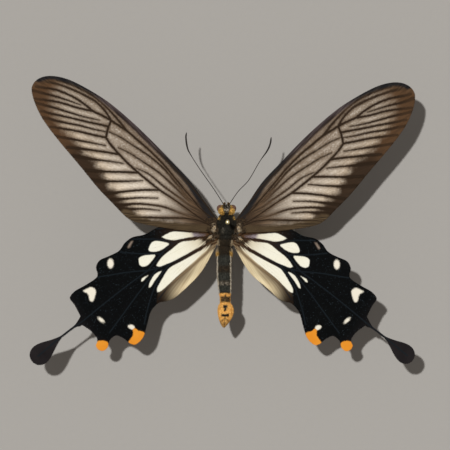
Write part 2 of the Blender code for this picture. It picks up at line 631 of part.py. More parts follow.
def make_leg(pair, side):
    """A folded leg: thigh out, shin back in, foot trailing to the rear."""
    root, joints = LEGS[pair]
    line = np.array([(BODY_X + SIDES[side] * out, y, THORAX_Z - down) for out, y, down in joints])
    points, radii = [], []
    for i, (start, stop) in enumerate(zip(line, line[1:])):
        for share in (0.0, 0.12, 0.5, 0.88) if i else (0.0, 0.5):
            points.append(start + (stop - start) * share)
            bulge = 1.12 if share == 0.5 and i == 1 else 1.0
            radii.append((LEG_RADII[i] + (LEG_RADII[i + 1] - LEG_RADII[i]) * share) * bulge)
    points.append(line[-1])
    radii.append(0.15)
    leg = tube(f"{pair}leg_{side}", points, radii, "cuticle_black")
    keep_clear(leg, root)


def make_pin():
    """A headed insect pin: a profile turned about its own axis, sharpened at the foot."""
    tip = PIN_TOP - PIN_LENGTH + GAP
    neck = PIN_TOP - 1.7 * PIN_HEAD_RADIUS
    middle = PIN_TOP - PIN_HEAD_RADIUS
    turns = np.linspace(math.pi / 2, -0.9, 7)
    head = [(PIN_HEAD_RADIUS * math.cos(t), middle + PIN_HEAD_RADIUS * math.sin(t)) for t in turns]
    shaft = [(PIN_RADIUS, neck), (PIN_RADIUS, tip + 2.0), (0.1, tip), (0.0, tip)]
    profile = [(0.0, PIN_TOP), *head[1:], *shaft]
    edges = [(i, i + 1) for i in range(len(profile) - 1)]
    mesh = bpy.data.meshes.new("stand_pin")
    mesh.from_pydata([(r * MM, 0, z * MM) for r, z in profile], edges, [])
    pin = add_object("stand_pin", mesh, "pin_brass")
    screw = pin.modifiers.new("turn", "SCREW")
    screw.steps = screw.render_steps = 14
    screw.use_merge_vertices = True
    screw.merge_threshold = 0.00001
    screw.use_smooth_shade = True


def make_block():
    """The pinning block, with a hole for the pin."""
    size = (BLOCK_LENGTH, BLOCK_WIDTH, BLOCK_HEIGHT)
    block = block_of("stand_block", size, (0.0, -BLOCK_BEHIND, BLOCK_HEIGHT / 2), SPECIMEN)
    block.data.materials.append(MADE["block_grey"])
    bevel = block.modifiers.new("edges", "BEVEL")
    bevel.width = BLOCK_BEVEL * MM
    bevel.segments = 2
    modifier = block.modifiers.new("pin_hole", "BOOLEAN")
    modifier.operation = "DIFFERENCE"
    modifier.object = bpy.data.objects["pin_bore"]


def main():
    make_thorax()
    make_head()
    for side in SIDES:
        make_eye(side)
    make_abdomen()
    for side in SIDES:
        make_clasper(side)
        make_tegula(side)
        make_forewing(side)
        make_hindwing(side)
        make_tail(side)
        make_antenna(side)
        make_palp(side)
        for pair in LEGS:
            make_leg(pair, side)
    make_proboscis()
    make_pin()
    make_block()


clear_scene()
SPECIMEN = new_collection("Common clubtail")
CUTTERS = new_collection("Cutters")
MADE = make_materials()
main()
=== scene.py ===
import math

import bpy
import numpy as np
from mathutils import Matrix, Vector
from mathutils.geometry import delaunay_2d_cdt


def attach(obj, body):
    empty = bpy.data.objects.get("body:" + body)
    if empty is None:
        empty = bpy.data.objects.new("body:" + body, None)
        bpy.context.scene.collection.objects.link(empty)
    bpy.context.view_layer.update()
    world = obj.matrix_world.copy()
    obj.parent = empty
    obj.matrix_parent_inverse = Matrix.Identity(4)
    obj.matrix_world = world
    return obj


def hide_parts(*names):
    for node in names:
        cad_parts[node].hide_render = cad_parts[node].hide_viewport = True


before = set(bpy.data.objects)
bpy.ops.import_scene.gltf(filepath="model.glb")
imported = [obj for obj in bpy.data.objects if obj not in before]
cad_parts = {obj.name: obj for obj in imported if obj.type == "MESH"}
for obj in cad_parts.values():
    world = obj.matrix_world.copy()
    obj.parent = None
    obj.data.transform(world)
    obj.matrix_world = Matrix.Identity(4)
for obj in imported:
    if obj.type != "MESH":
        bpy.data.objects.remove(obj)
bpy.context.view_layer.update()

# Sizes are in millimetres, in the frame of the solids: the pin's axis is x = y = 0 and +Y is the head's end.
MM = 0.001
BODY_X = -0.3
# The body's middle line seen from above, as (y, x): it bows to the left behind the pin.
BODY_LINE = [(5.0, BODY_X), (-1.0, BODY_X), (-2.2, -0.36), (-5.0, -0.66), (-8.7, -0.93), (-12.0, -1.0),
             (-15.0, -1.0), (-17.6, -0.87), (-20.4, -0.72), (-23.6, -0.62), (-24.7, -0.5), (-26.0, -0.54),
             (-27.4, -0.75), (-28.8, -0.98), (-29.7, -1.1)]
THORAX_Z = 26.6
HEAD_Z = 27.1
ABDOMEN_START = -6.5
ABDOMEN_SAG = 0.05
FOREWING_Z = 27.8
HINDWING_Z = 26.6
WING_RISE = 0.055
WING_ARCH = 0.0004
REAR_DROOP = 0.0015
DROOP_START = 12.0
MEMBRANE = 0.13
LATTICE = 0.27
FRINGE = 0.2
FRINGE_STEP = 0.13
VEIN_SIDES = 8
# Cells to the millimetre and how unevenly they lie. Scales are drawn at their real length of 0.11 mm. The
# eye's facets are 0.055 mm wide, twice the real width, which is too fine to show even from close by.
SCALE_ROWS = {"Scale": 9.0, "Randomness": 0.8}
FACETS = {"Scale": 18.0, "Randomness": 0.25}
# Cloudy noise. Its scale is one over the size of its lumps in millimetres.
CLOUDY = {"Detail": 3.0, "Roughness": 0.55}
# Lines that markings follow have points this far apart, and the painted sheen's strength falls off over this
# width.
MARK_STEP = 0.8
PAINTED_SHEEN_WIDTH = 6.5
# A vein's radius at these distances from the wing's root.
VEIN_REACH, VEIN_RADII = (2, 60), (0.2, 0.075)
SIDES = {"left": -1, "right": 1}

# Each wing's points (out, forward) are turned into its own spread: shift, per out, per forward.
SPREAD = {
    ("forewing", "left"): np.array([[0.0, 1.006, 0.0], [0.0, 0.003, 1.0]]),
    ("forewing", "right"): np.array([[0.10, 0.977, -0.008], [0.0, -0.035, 0.984]]),
    ("hindwing", "left"): np.array([[0.0, 1.006, 0.0], [0.0, 0.0, 1.0]]),
    ("hindwing", "right"): np.array([[-0.66, 0.968, -0.023], [-0.48, 0.003, 0.992]]),
}
TAIL_SPREAD = {"left": np.array([[0.55, 0.995, 0.0], [1.03, 0.0, 1.029]]),
               "right": np.array([[0.87, 0.930, -0.023], [-1.14, 0.003, 0.970]])}
# The right forewing's front edge stands a little fuller, by this much at these distances out, and round one
# place the right hindwing's inner margin is folded further under.
FULLER_OUT, FULLER_BY, FULLER_WIDTH = (6.0, 22.0, 36.0, 48.0), (0.0, 0.4, 0.45, 0.7), 2.6
TUCK_OUT, TUCK_FORWARD, TUCK_AT, TUCK_WIDTH = 0.6, 0.4, (12.2, -19.0), 5.5

# The forewing's edge: costa, apex, termen and inner margin.
FOREWING_COSTA = [(1.5, 1.0), (2.8, 1.2), (6.3, 6.2), (10.2, 11.8), (15.5, 17.4), (20.9, 23.0),
                  (27.0, 28.8), (33.2, 33.9), (39.9, 38.0)]
FOREWING_APEX = [(44.8, 40.2), (49.2, 40.9), (52.3, 40.1), (54.0, 38.3), (54.2, 36.0), (53.1, 32.4)]
FOREWING_TERMEN = [(50.8, 28.0), (46.6, 22.4), (41.0, 15.7), (35.7, 9.2), (31.2, 4.5)]
FOREWING_INNER = [(27.9, 1.2), (24.8, -0.3), (19.7, -1.4), (13.0, -2.4), (6.0, -2.9), (3.5, -2.9),
                  (1.5, -2.7)]

# The hindwing's edge: costa, scalloped lobes, the tail's root, the rear lobes and the inner margin.
HINDWING_COSTA = [(1.5, -3.9), (3.5, -3.1), (6.0, -1.1), (10.2, 0.1), (15.3, 0.0), (19.5, -1.5),
                  (22.8, -3.3)]
HINDWING_LOBES = [(26.2, -4.1), (28.4, -5.7), (30.0, -7.9), (32.6, -9.3), (35.4, -10.6), (36.4, -12.6),
                  (36.1, -15.1), (38.8, -17.2), (42.4, -19.3), (43.7, -21.3), (42.3, -23.4), (40.8, -26.3)]
HINDWING_REAR = [(40.1, -29.0), (37.7, -30.7), (36.1, -32.8), (36.4, -34.6), (35.7, -35.8), (34.3, -36.2),
                 (33.0, -35.1), (32.5, -33.3), (30.8, -31.9), (28.7, -32.7), (26.7, -34.2), (25.1, -34.3),
                 (23.1, -32.3), (22.0, -28.8), (21.0, -25.2), (18.9, -22.8)]
HINDWING_INNER = [(16.4, -22.2), (14.1, -21.1), (10.2, -17.6), (7.4, -14.6), (5.2, -11.2), (3.4, -7.8),
                  (2.4, -6.1), (1.5, -5.9)]
TAIL_LINE = [(40.95, -28.5), (43.8, -30.6), (46.6, -32.7), (49.4, -35.0), (52.0, -37.1)]
STALK_HALF_WIDTH = 0.42
CLUB_RADIUS = 2.95

FOREWING_VEINS = {
    "subcosta": [(2.7, 0.6), (5.7, 4.8), (9.7, 9.8), (14.4, 14.8), (20, 20.6), (25.6, 26), (31.2, 31.2)],
    "radial_stem": [(2.7, 0.3), (6.6, 3.1), (10.2, 7.3), (14.4, 12.3), (17.2, 15.7), (20.9, 19.5),
                    (24.2, 22.4), (27.6, 25.3), (32.1, 28.3)],
    "radial_2": [(27.6, 25.3), (30.1, 28.4), (33.2, 31.8), (36.3, 34.6), (39.9, 36.8), (44.4, 38.8),
                 (47.2, 39.6)],
    "radial_3": [(32.1, 28.3), (33.7, 30.9), (36.3, 33.5), (39.6, 35.4), (43.3, 37.1), (47.2, 38.5),
                 (50.5, 39.2)],
    "radial_4": [(32.1, 28.3), (34.6, 29.7), (37.1, 30.9), (38.8, 32.3), (41, 33.9), (43.3, 35.2),
                 (45.8, 36.3), (48.6, 37.1), (53.0, 37.7)],
    "radial_5": [(37.1, 30.9), (39.6, 31.4), (42.4, 32.1), (45.2, 33), (48.6, 33.7), (53.2, 34.3)],
    "cell_end": [(32.1, 28.3), (33, 26), (33.5, 23.5)],
    "medial_1": [(32.8, 26.6), (35.4, 27.2), (39.6, 28.1), (43.8, 29.1), (48, 30), (51.6, 30.9)],
    "medial_2": [(33.5, 23.5), (37.2, 24.3), (41, 25.2), (45, 25.9), (49.0, 26.5)],
    "medial_3": [(29.8, 18.8), (33.2, 19.4), (36.8, 19.9), (40.4, 20.4), (44.4, 20.8)],
    "cubital_stem": [(2.7, -1.1), (6, 0.3), (8.8, 2.1), (11.6, 4.1), (14.4, 6.1), (18.6, 8.9), (22, 11.6),
                     (24.5, 13.7), (27.6, 16.5), (29.8, 18.8), (32.1, 21.4), (33.5, 23.5)],
    "cubital_1": [(24.5, 13.7), (28.4, 13.9), (34, 14), (39.2, 14.4)],
    "cubital_2": [(18.6, 8.9), (22.8, 8.9), (27, 8.6), (31.2, 8.1), (34.2, 7.8)],
    "anal": [(2.7, -2), (7.4, 0.3), (11.6, 1), (17.2, 1.1), (21.4, 1.2), (27.2, 1.2)],
}
HINDWING_VEINS = {
    "subcosta": [(3.5, -4), (6.5, -2.4), (10, -1.6), (14.5, -1.6), (19.5, -1.9)],
    "radial_stem": [(2.4, -4.5), (5.5, -4.2), (8.8, -4.4), (11.8, -4.9), (14.7, -6), (17.5, -8.2),
                    (20, -11.2), (21.8, -13.6)],
    "radial_sector": [(14.7, -6), (17.2, -5.2), (20, -4.8), (23, -4.8), (26.2, -4.8)],
    "cubital_stem": [(2.4, -5.2), (4.8, -6.2), (7.4, -7.6), (11.5, -9.7), (15.5, -11.5), (18.8, -12.8),
                     (21.8, -13.6)],
    "medial_1": [(17.8, -9), (20.5, -8.9), (23.5, -8.9), (26.5, -8.7), (29.6, -8.4)],
    "medial_2": [(21.8, -13.6), (25, -13.8), (28.5, -14.2), (32, -14.8), (35.8, -15.4)],
    "medial_3": [(21.8, -13.6), (25.5, -16.2), (30.1, -19.7), (35, -23.6), (40.95, -28.5), (43.8, -30.6),
                 (46.6, -32.7), (49.4, -35.0), (52.6, -37.6)],
    "cubital_1": [(19.2, -12.9), (22, -16.6), (25.9, -21.8), (29.5, -26.8), (32.6, -31.0)],
    "cubital_2": [(15.5, -11.5), (18.2, -14.8), (20.3, -19), (22.1, -24.8), (22.9, -28.6)],
    "anal": [(2.4, -5.7), (4.6, -7.8), (7.4, -10.4), (10.5, -13.2), (13.6, -15.7), (16.4, -18.4),
             (19.0, -21.8)],
}

# Dark rays of scales between the forewing's veins, each from its thin inner end out to the dark margin, and
# those inside its cell, each from the cell's end towards the root.
MARGIN_RAYS = [
    [(40.5, 32.6), (43.8, 33.8), (47.2, 34.9), (50.3, 35.7)],
    [(35.4, 28.4), (39.6, 29.3), (43.3, 30.4), (47.2, 31.6), (50.5, 32.5)],
    [(33.2, 25.1), (36.8, 25.8), (41.0, 26.9), (45.2, 27.7), (49.4, 28.7)],
    [(33.7, 21.3), (36.8, 21.9), (41.0, 22.7), (44.9, 23.4)],
    [(28.7, 16.3), (32.6, 16.9), (36.8, 17.4), (41.0, 18.1)],
    [(23.4, 11.5), (28.4, 11.3), (34.0, 11.3), (36.3, 11.5)],
    [(19.2, 6.6), (24.2, 6.7), (29.3, 6.3)],
    [(7.4, 0.6), (13.0, 2.5), (17.2, 4.1), (21.4, 4.8), (25.6, 5.0), (29.3, 4.6)],
    [(18.6, 3.2), (22.8, 3.6), (27.0, 3.5)],
]
CELL_RAYS = [
    [(32.9, 25.2), (29.8, 23.8), (25.6, 21.1), (21.4, 18.3), (17.2, 14.6), (13.0, 9.5), (8.8, 4.8)],
    [(30.1, 20.7), (27.0, 19.2), (22.8, 16.5), (18.6, 13.6), (14.4, 9.8), (10.2, 5.6), (6.6, 2.2)],
    [(25.1, 15.0), (21.4, 13.2), (17.8, 10.2), (13.6, 7.1), (8.8, 3.5)],
]

# The forewing's painted sheen, a highlight that stands for the satin's shine, is strongest along this line
# inside its outer margin, by this much at these distances out.
PAINTED_SHEEN_LINE = [(9.0, 1.0), (16.0, 4.0), (24.0, 6.5), (31.0, 11.0), (37.0, 18.5), (42.0, 27.0), (46.0, 34.0)]
PAINTED_SHEEN_OUT, PAINTED_SHEEN_BY = (5.0, 11.0, 20.0, 28.0, 36.0, 47.0), (0.2, 0.85, 1.2, 0.85, 0.55, 0.45)
# The right forewing gets less painted sheen. Its dark border is wider by this much below the apex, and the
# left one's is narrower by this much at the apex.
RIGHT_PAINTED_SHEEN, RIGHT_BORDER, LEFT_BORDER = 0.75, 0.8, 0.8

# Cream windows of the hindwing between its veins.
CREAM_PATCHES = [
    [(18.1, -4.2), (16.9, -3.5), (15.0, -2.7), (12.2, -2.8), (8.3, -3.2), (6.0, -3.5), (7.4, -3.9),
     (10.2, -4.3), (13.0, -4.8), (14.7, -5.1), (16.7, -4.8)],
    [(21.7, -7.6), (21.4, -6.7), (20.6, -5.6), (19.2, -5.3), (16.1, -6.0), (16.9, -7.0), (18.1, -7.8),
     (19.7, -8.3), (21.4, -8.2)],
    [(24.4, -11.2), (24.4, -10.2), (23.4, -9.5), (21.7, -9.2), (19.9, -9.2), (20.2, -10.1), (21.4, -11.6),
     (22.3, -12.3), (23.4, -12.5), (24.2, -12.0)],
    [(19.6, -12.2), (18.6, -10.6), (17.2, -9.1), (15.5, -7.8), (13.0, -5.8), (10.8, -5.3), (6.4, -5.1),
     (6.2, -6.0), (8.8, -7.7), (14.4, -10.8), (16.7, -11.8), (18.6, -12.5)],
    [(19.3, -19.7), (19.3, -18.5), (18.1, -16.2), (16.7, -13.9), (15.5, -12.6), (11.1, -10.2), (5.7, -7.1),
     (4.3, -6.6), (8.3, -10.4), (13.6, -15.1), (17.8, -19.0)],
    [(21.7, -18.3), (21.3, -16.8), (20.0, -14.7), (18.1, -13.7), (18.9, -15.0), (20.0, -16.5),
     (21.1, -18.2)],
    [(23.8, -16.7), (23.4, -15.7), (21.6, -14.8), (22.3, -15.5), (23.2, -16.5)],
]
PALE_SPOTS = [
    [(25.9, -5.3), (26.6, -5.4), (27.6, -7.0), (27.0, -7.2)],
    [(36.7, -18.6), (37.7, -18.2), (38.8, -18.6), (39.9, -19.3), (38.6, -20.2), (38.2, -21.7),
     (37.7, -22.3), (37.0, -22.0), (36.3, -19.6)],
    [(25.5, -29.6), (25.9, -28.9), (26.9, -28.7), (27.5, -29.2), (26.9, -29.9), (26.0, -30.2)],
]
OVAL_SPOT, OVAL_HALF = (32.3, -11.6), (0.9, 1.4)
TILTED_SPOT, TILTED_HALF, TILTED_TURN = (34.9, -27.4), (1.18, 0.5), math.radians(40)
ORANGE_LUNULE = [(26.2, -30.1), (25.5, -29.7), (24.5, -30.4), (23.0, -30.8), (22.8, -31.8), (23.7, -33.2),
                 (24.8, -34.4), (26.2, -34.8), (27.4, -33.9), (26.6, -32.5), (26.0, -31.4)]
ORANGE_DISC, ORANGE_RADIUS = (34.7, -34.6), 1.9
ORANGE_CAP, CAP_RADIUS = (34.7, -36.2), 3.05
BEIGE_FOLD = [(2.8, -5.9), (5.7, -7.5), (8.3, -9.8), (11.1, -12.2), (13.6, -14.4), (15.8, -16.4),
              (18.2, -18.6), (19.3, -20.6), (18.9, -24.0), (14.0, -23.0), (9.6, -19.0), (6.4, -15.6),
              (3.9, -11.2), (1.6, -7.0)]

# The body's coat by its marks, each tone's shaded and lit colour, in the order in which they cover each
# other.
COAT_TONES = {
    # The slate tone is the abdomen's blue-grey, and also a painted sheen over the thorax.
    "slate_and_sheen": ("#21211C", "#4B4B43"),
    "brown": ("#291E13", "#5F4B34"),
    "pale": ("#AFA085", "#F5EAD6"),
    "yellow": ("#A36D1E", "#FFD377"),
    "orange": ("#BE7C33", "#FFCB73"),
}


def colour(code):
    """The linear red, green, blue and alpha of an sRGB hex colour."""
    shares = [int(code[i:i + 2], 16) / 255 for i in (1, 3, 5)]
    linear = [c / 12.92 if c <= 0.04045 else ((c + 0.055) / 1.055) ** 2.4 for c in shares]
    return (*linear, 1.0)


def fade(value, low, high):
    """0 below low, 1 above high, and a smooth step between them; low may lie above high."""
    share = np.clip((value - low) / (high - low), 0, 1)
    return share * share * (3 - 2 * share)


def band(value, low, high, soft):
    """1 between low and high, fading over `soft` to 0 outside."""
    return fade(value, low - soft, low + soft) * fade(value, high + soft, high - soft)


def smooth_line(points, spacing):
    """A Catmull-Rom curve through the points, with points about `spacing` apart."""
    given = np.array(points, float)
    ends = np.vstack([2 * given[0] - given[1], given, 2 * given[-1] - given[-2]])
    found = []
    for before, start, stop, after in zip(ends, ends[1:], ends[2:], ends[3:]):
        count = max(1, round(np.linalg.norm(stop - start) / spacing))
        t = (np.arange(count) / count)[:, None]
        curve = 2 * start + (stop - before) * t + (2 * before - 5 * start + 4 * stop - after) * t**2
        found.append(0.5 * (curve + (3 * start - before - 3 * stop + after) * t**3))
    return np.vstack([*found, given[-1:]])


def run_lengths(line):
    """The distance along the line from its start to each of its points."""
    return np.concatenate([[0.0], np.cumsum(np.linalg.norm(np.diff(line, axis=0), axis=1))])


def nearest_on_line(points, line):
    """Each point's distance to a line of straight pieces, and how far along it the nearest place lies from 0
    to 1: the least over the pieces, worked in blocks of points."""
    start, run = line[:-1], np.diff(line, axis=0)
    length = np.maximum((run**2).sum(1), 1e-12)
    found = []
    for block in np.array_split(points, max(1, len(points) * len(run) // 2_000_000 + 1)):
        offset = block[:, None] - start
        share = np.clip((offset * run).sum(2) / length, 0, 1)
        away = np.linalg.norm(offset - share[..., None] * run, axis=2)
        best = away.argmin(1)
        each = np.arange(len(block))
        found.append(np.column_stack([away[each, best], (best + share[each, best]) / len(run)]))
    return np.vstack(found).T


def distance_to_line(points, line):
    """Each point's distance to a line."""
    return nearest_on_line(points, line)[0]


def is_inside(points, edge):
    """True where a line from the point along +x crosses the closed edge an odd number of times."""
    after = np.roll(edge, -1, axis=0)
    found = []
    for block in np.array_split(points, max(1, len(points) * len(edge) // 4_000_000 + 1)):
        x, y = block[:, :1], block[:, 1:]
        spans = (edge[:, 1] > y) != (after[:, 1] > y)
        rise = np.where(after[:, 1] == edge[:, 1], 1e-12, after[:, 1] - edge[:, 1])
        cross = edge[:, 0] + (y - edge[:, 1]) * (after[:, 0] - edge[:, 0]) / rise
        found.append((spans & (x < cross)).sum(1) % 2 == 1)
    return np.concatenate(found)


def inside_by(points, outline, spacing=0.3):
    """How far each point lies inside a smoothed closed outline, negative outside it."""
    ring = smooth_line([*outline, outline[0]], spacing)
    away = distance_to_line(points, ring)
    return np.where(is_inside(points, ring[:-1]), away, -away)


def nearest_of(points, lines, taper=0.0):
    """The distance from each point to the nearest of several smoothed lines. A taper adds to it towards each
    line's start, so that a stripe drawn by the distance runs to a point there."""
    found = []
    for line in lines:
        away, share = nearest_on_line(points, smooth_line(line, MARK_STEP))
        found.append(away + taper * (1 - share) ** 2)
    return np.min(found, axis=0)


def tail_edge():
    """The tail's outline from its front root round the club: a thin stalk that swells as a bell curve of the
    distance to the club's middle, closed by a half circle."""
    line = smooth_line(TAIL_LINE, 0.3)
    along = np.gradient(line, axis=0)
    along /= np.linalg.norm(along, axis=1)[:, None]
    square = np.column_stack([-along[:, 1], along[:, 0]])
    run = run_lengths(line)
    bell = CLUB_RADIUS * np.exp(-(((run[-1] - run) / CLUB_RADIUS / 1.9) ** 2))
    half = np.maximum(STALK_HALF_WIDTH, bell) + 0.5 * np.exp(-((run / 0.9) ** 2))
    front = line + square * half[:, None]
    rear = line - square * half[:, None]
    turn = np.linspace(np.pi / 2, -np.pi / 2, 24)[1:-1]
    club = line[-1] + CLUB_RADIUS * (np.cos(turn)[:, None] * along[-1] + np.sin(turn)[:, None] * square[-1])
    return np.vstack([front[1:], club, rear[:0:-1]])


def drawn_in(outline, depth):
    """A closed outline moved inward along its own normals."""
    ahead = np.roll(outline, -1, axis=0) - np.roll(outline, 1, axis=0)
    ahead /= np.maximum(np.linalg.norm(ahead, axis=1), 1e-9)[:, None]
    inward = np.column_stack([-ahead[:, 1], ahead[:, 0]])
    turned = is_inside(outline + inward * 0.1, outline).mean() > 0.5
    return outline + inward * (depth if turned else -depth)


def wing_outlines():
    """The two left wings' closed outlines as fine rows of points (out, forward), drawn in by the fringe."""
    fore = smooth_line([*FOREWING_COSTA, *FOREWING_APEX, *FOREWING_TERMEN, *FOREWING_INNER], LATTICE)
    before_tail = smooth_line([*HINDWING_COSTA, *HINDWING_LOBES], LATTICE)
    after_tail = smooth_line([*HINDWING_REAR, *HINDWING_INNER], LATTICE)
    hind = np.vstack([before_tail, tail_edge(), after_tail])
    return {"forewing": drawn_in(fore, FRINGE), "hindwing": drawn_in(hind, FRINGE)}


def lattice_sheet(outline):
    """A flat sheet of near-even triangles: a six-sided lattice of points inside the outline, joined with the
    outline's own points by Delaunay's rule. Gives its points and faces."""
    low, high = outline.min(0), outline.max(0)
    rows = np.arange(low[1], high[1], LATTICE * 0.866)
    cells = np.arange(low[0], high[0], LATTICE)
    x = cells[None] + (np.arange(len(rows)) % 2)[:, None] * LATTICE / 2
    field = np.stack(np.broadcast_arrays(x, rows[:, None]), axis=-1).reshape(-1, 2)
    field = field[is_inside(field, outline)]
    field = field[distance_to_line(field, np.vstack([outline, outline[:1]])) > LATTICE * 0.55]
    count = len(outline)
    rim = [(i, (i + 1) % count) for i in range(count)]
    given = [Vector(p) for p in np.vstack([outline, field])]
    points, _, faces, *_ = delaunay_2d_cdt(given, rim, [list(range(count))], 1, 1e-5)
    points = np.array([p[:] for p in points])
    faces = np.array([f[:3] for f in faces])
    corners = points[faces]
    turn = np.cross(corners[:, 1] - corners[:, 0], corners[:, 2] - corners[:, 0])
    return points, np.where((turn > 0)[:, None], faces, faces[:, ::-1])


def spread_wing(points, kind, side):
    """Wing points (out, forward) as this wing is spread, with the tail's own spread faded in past its root
    and with what only the right wings have."""
    x, y = (row[0] + points @ row[1:] for row in SPREAD[kind, side])
    if (kind, side) == ("forewing", "right"):
        costa = smooth_line([*FOREWING_COSTA, *FOREWING_APEX[:4]], 2.6)
        near = np.exp(-((distance_to_line(points, costa) / FULLER_WIDTH) ** 2))
        y = y + near * np.interp(points[:, 0], FULLER_OUT, FULLER_BY)
    if (kind, side) == ("hindwing", "right"):
        near = np.exp(-((np.linalg.norm(points - TUCK_AT, axis=1) / TUCK_WIDTH) ** 2))
        x, y = x + TUCK_OUT * near, y + TUCK_FORWARD * near
    if kind == "hindwing":
        tail = np.array(TAIL_LINE[-1]) - TAIL_LINE[0]
        share = fade((points - TAIL_LINE[0]) @ (tail / np.linalg.norm(tail)), -1.0, 2.0)
        tail_x, tail_y = (row[0] + points @ row[1:] for row in TAIL_SPREAD[side])
        x, y = x + (tail_x - x) * share, y + (tail_y - y) * share
    return x, y


def wing_place(points, kind, side, lift=0.0):
    """Wing points (out, forward) set in the frame, in millimetres: spread as this wing is, and lifted on a
    plane that rises outward, arches down and droops towards the rear."""
    out, forward = points.T
    beyond = np.maximum(out - 2.5, 0)
    behind = np.maximum(-forward - DROOP_START, 0)
    base = FOREWING_Z if kind == "forewing" else HINDWING_Z
    z = base + WING_RISE * beyond - WING_ARCH * beyond**2 - REAR_DROOP * behind**2 + lift
    x, y = spread_wing(points, kind, side)
    return np.column_stack([BODY_X + SIDES[side] * x, y, z])


def outward(points, faces):
    """The faces, all turned over if their signed volume is negative."""
    volume = 0.0
    for group in faces:
        a = points[group[:, 0]]
        for second in range(1, group.shape[1] - 1):
            volume += (a * np.cross(points[group[:, second]], points[group[:, second + 1]])).sum()
    return faces if volume > 0 else [group[:, ::-1] for group in faces]


def closed_rings(rings, first, last):
    """Rings of points joined in a row, with one point closing each end. Gives points and faces."""
    count, around = rings.shape[:2]
    points = np.vstack([rings.reshape(-1, 3), [first], [last]])
    ring = np.arange(count * around).reshape(count, around)
    after = np.roll(ring, -1, axis=1)
    quads = np.stack([ring[:-1], ring[1:], after[1:], after[:-1]], axis=-1).reshape(-1, 4)
    start, stop = np.full(around, count * around), np.full(around, count * around + 1)
    caps = np.vstack([np.stack([ring[0], after[0], start], -1), np.stack([after[-1], ring[-1], stop], -1)])
    return points, outward(points, [quads, caps])


def tube_rings(line, radii, around=12, upright=(0, 0, 1)):
    """Rings square to the line in frames held by the upright direction, with a point just past each end."""
    line = np.asarray(line, float)
    radii = np.broadcast_to(radii, len(line)).astype(float)
    along = np.gradient(line, axis=0)
    along /= np.linalg.norm(along, axis=1)[:, None]
    side = np.cross(along, upright)
    side /= np.linalg.norm(side, axis=1)[:, None]
    up = np.cross(side, along)
    turn = np.linspace(0, 2 * np.pi, around, endpoint=False)[None, :, None]
    rings = line[:, None] + radii[:, None, None] * (side[:, None] * np.cos(turn) + up[:, None] * np.sin(turn))
    return rings, line[0] - along[0] * radii[0] * 0.5, line[-1] + along[-1] * radii[-1] * 0.5


def tube(line, radii, around=12, upright=(0, 0, 1)):
    """A round bar along the line, closed at both ends."""
    return closed_rings(*tube_rings(line, radii, around, upright))


def ball_rings(centre, radii, turn_y=0.0, turn_z=0.0, around=64, rows=40):
    """Rings of latitude of an ellipsoid about its own z axis, turned about y and then z, and its poles."""
    level = np.linspace(0, np.pi, rows + 2)[1:-1, None]
    turn = np.linspace(0, 2 * np.pi, around, endpoint=False)[None]
    unit = np.stack([np.sin(level) * np.cos(turn), np.sin(level) * np.sin(turn),
                     np.cos(level) * np.ones_like(turn)], axis=-1)
    c, s = math.cos(turn_y), math.sin(turn_y)
    about_y = np.array([[c, 0, s], [0, 1, 0], [-s, 0, c]])
    c, s = math.cos(turn_z), math.sin(turn_z)
    about_z = np.array([[c, -s, 0], [s, c, 0], [0, 0, 1]])
    turned = about_z @ about_y
    rings = (unit * radii) @ turned.T + centre
    pole = turned @ np.array([0, 0, radii[2]])
    return rings, centre + pole, centre - pole


def joined(parts):
    """Several (points, faces) as one."""
    starts = np.cumsum([0, *[len(points) for points, _ in parts]])
    quads = [group + start for (_, faces), start in zip(parts, starts) for group in faces]
    return np.vstack([points for points, _ in parts]), quads


def placed(name, data):
    """A new object of this data in the scene."""
    made = bpy.data.objects.new(name, data)
    bpy.context.scene.collection.objects.link(made)
    return made


def new_piece(name, points, faces, material, stands_for=(), marks=None, places=None, crease=None):
    """A mesh of points in millimetres, smooth but for edges sharper than `crease` degrees, with its marks as
    point attributes and its places as the OFBake map; it rides on the frame's one body."""
    mesh = bpy.data.meshes.new(name)
    mesh.from_pydata(points * MM, [], [face for group in faces for face in group.tolist()])
    mesh.polygons.foreach_set("use_smooth", np.ones(len(mesh.polygons), bool))
    if crease:
        mesh.set_sharp_from_angle(angle=math.radians(crease))
    for key, values in (marks or {}).items():
        mesh.attributes.new(key, "FLOAT", "POINT").data.foreach_set("value", values.astype(np.float32))
    if places is not None:
        corners = np.empty(len(mesh.loops), np.int32)
        mesh.loops.foreach_get("vertex_index", corners)
        mesh.uv_layers.new(name="OFBake").data.foreach_set("uv", places[corners].astype(np.float32).ravel())
    mesh.update()
    mesh.materials.append(material)
    piece = placed(name, mesh)
    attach(piece, "root")
    if stands_for:
        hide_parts(*stands_for)


# A blade of hair has seven points: three at its foot, three at its knee and one at its tip.
BLADE = 7
BLADE_SIDES = np.array([[0, 1, 4, 3], [1, 2, 5, 4], [2, 0, 3, 5]])
BLADE_ENDS = np.array([[3, 4, 6], [4, 5, 6], [5, 3, 6], [1, 0, 2]])
# Each blade and edge scale has its own patch on the OFBake map, about 0.003 wide.
PATCH_HALF = 0.0015
BLADE_PATCH = np.array([[-1, -1], [1, -1], [0, -1], [-0.8, 0], [0.8, 0], [0, 0], [0, 1]])
FRINGE_PATCH = np.array([[-1, -1], [1, -1], [0.7, 0.5], [0, 1], [-0.7, 0.5]])


def blade_faces(points):
    """The faces of blades of seven points each, turned outward."""
    start = np.arange(len(points) // BLADE)[:, None, None] * BLADE
    return outward(points, [(start + BLADE_SIDES).reshape(-1, 4), (start + BLADE_ENDS).reshape(-1, 3)])


def map_patches(shares, patch):
    """Small patches on the OFBake map, each at its root's shares of the unwrapped surface."""
    return (shares[:, None] * 0.99 + 0.005 + patch * PATCH_HALF).reshape(-1, 2)


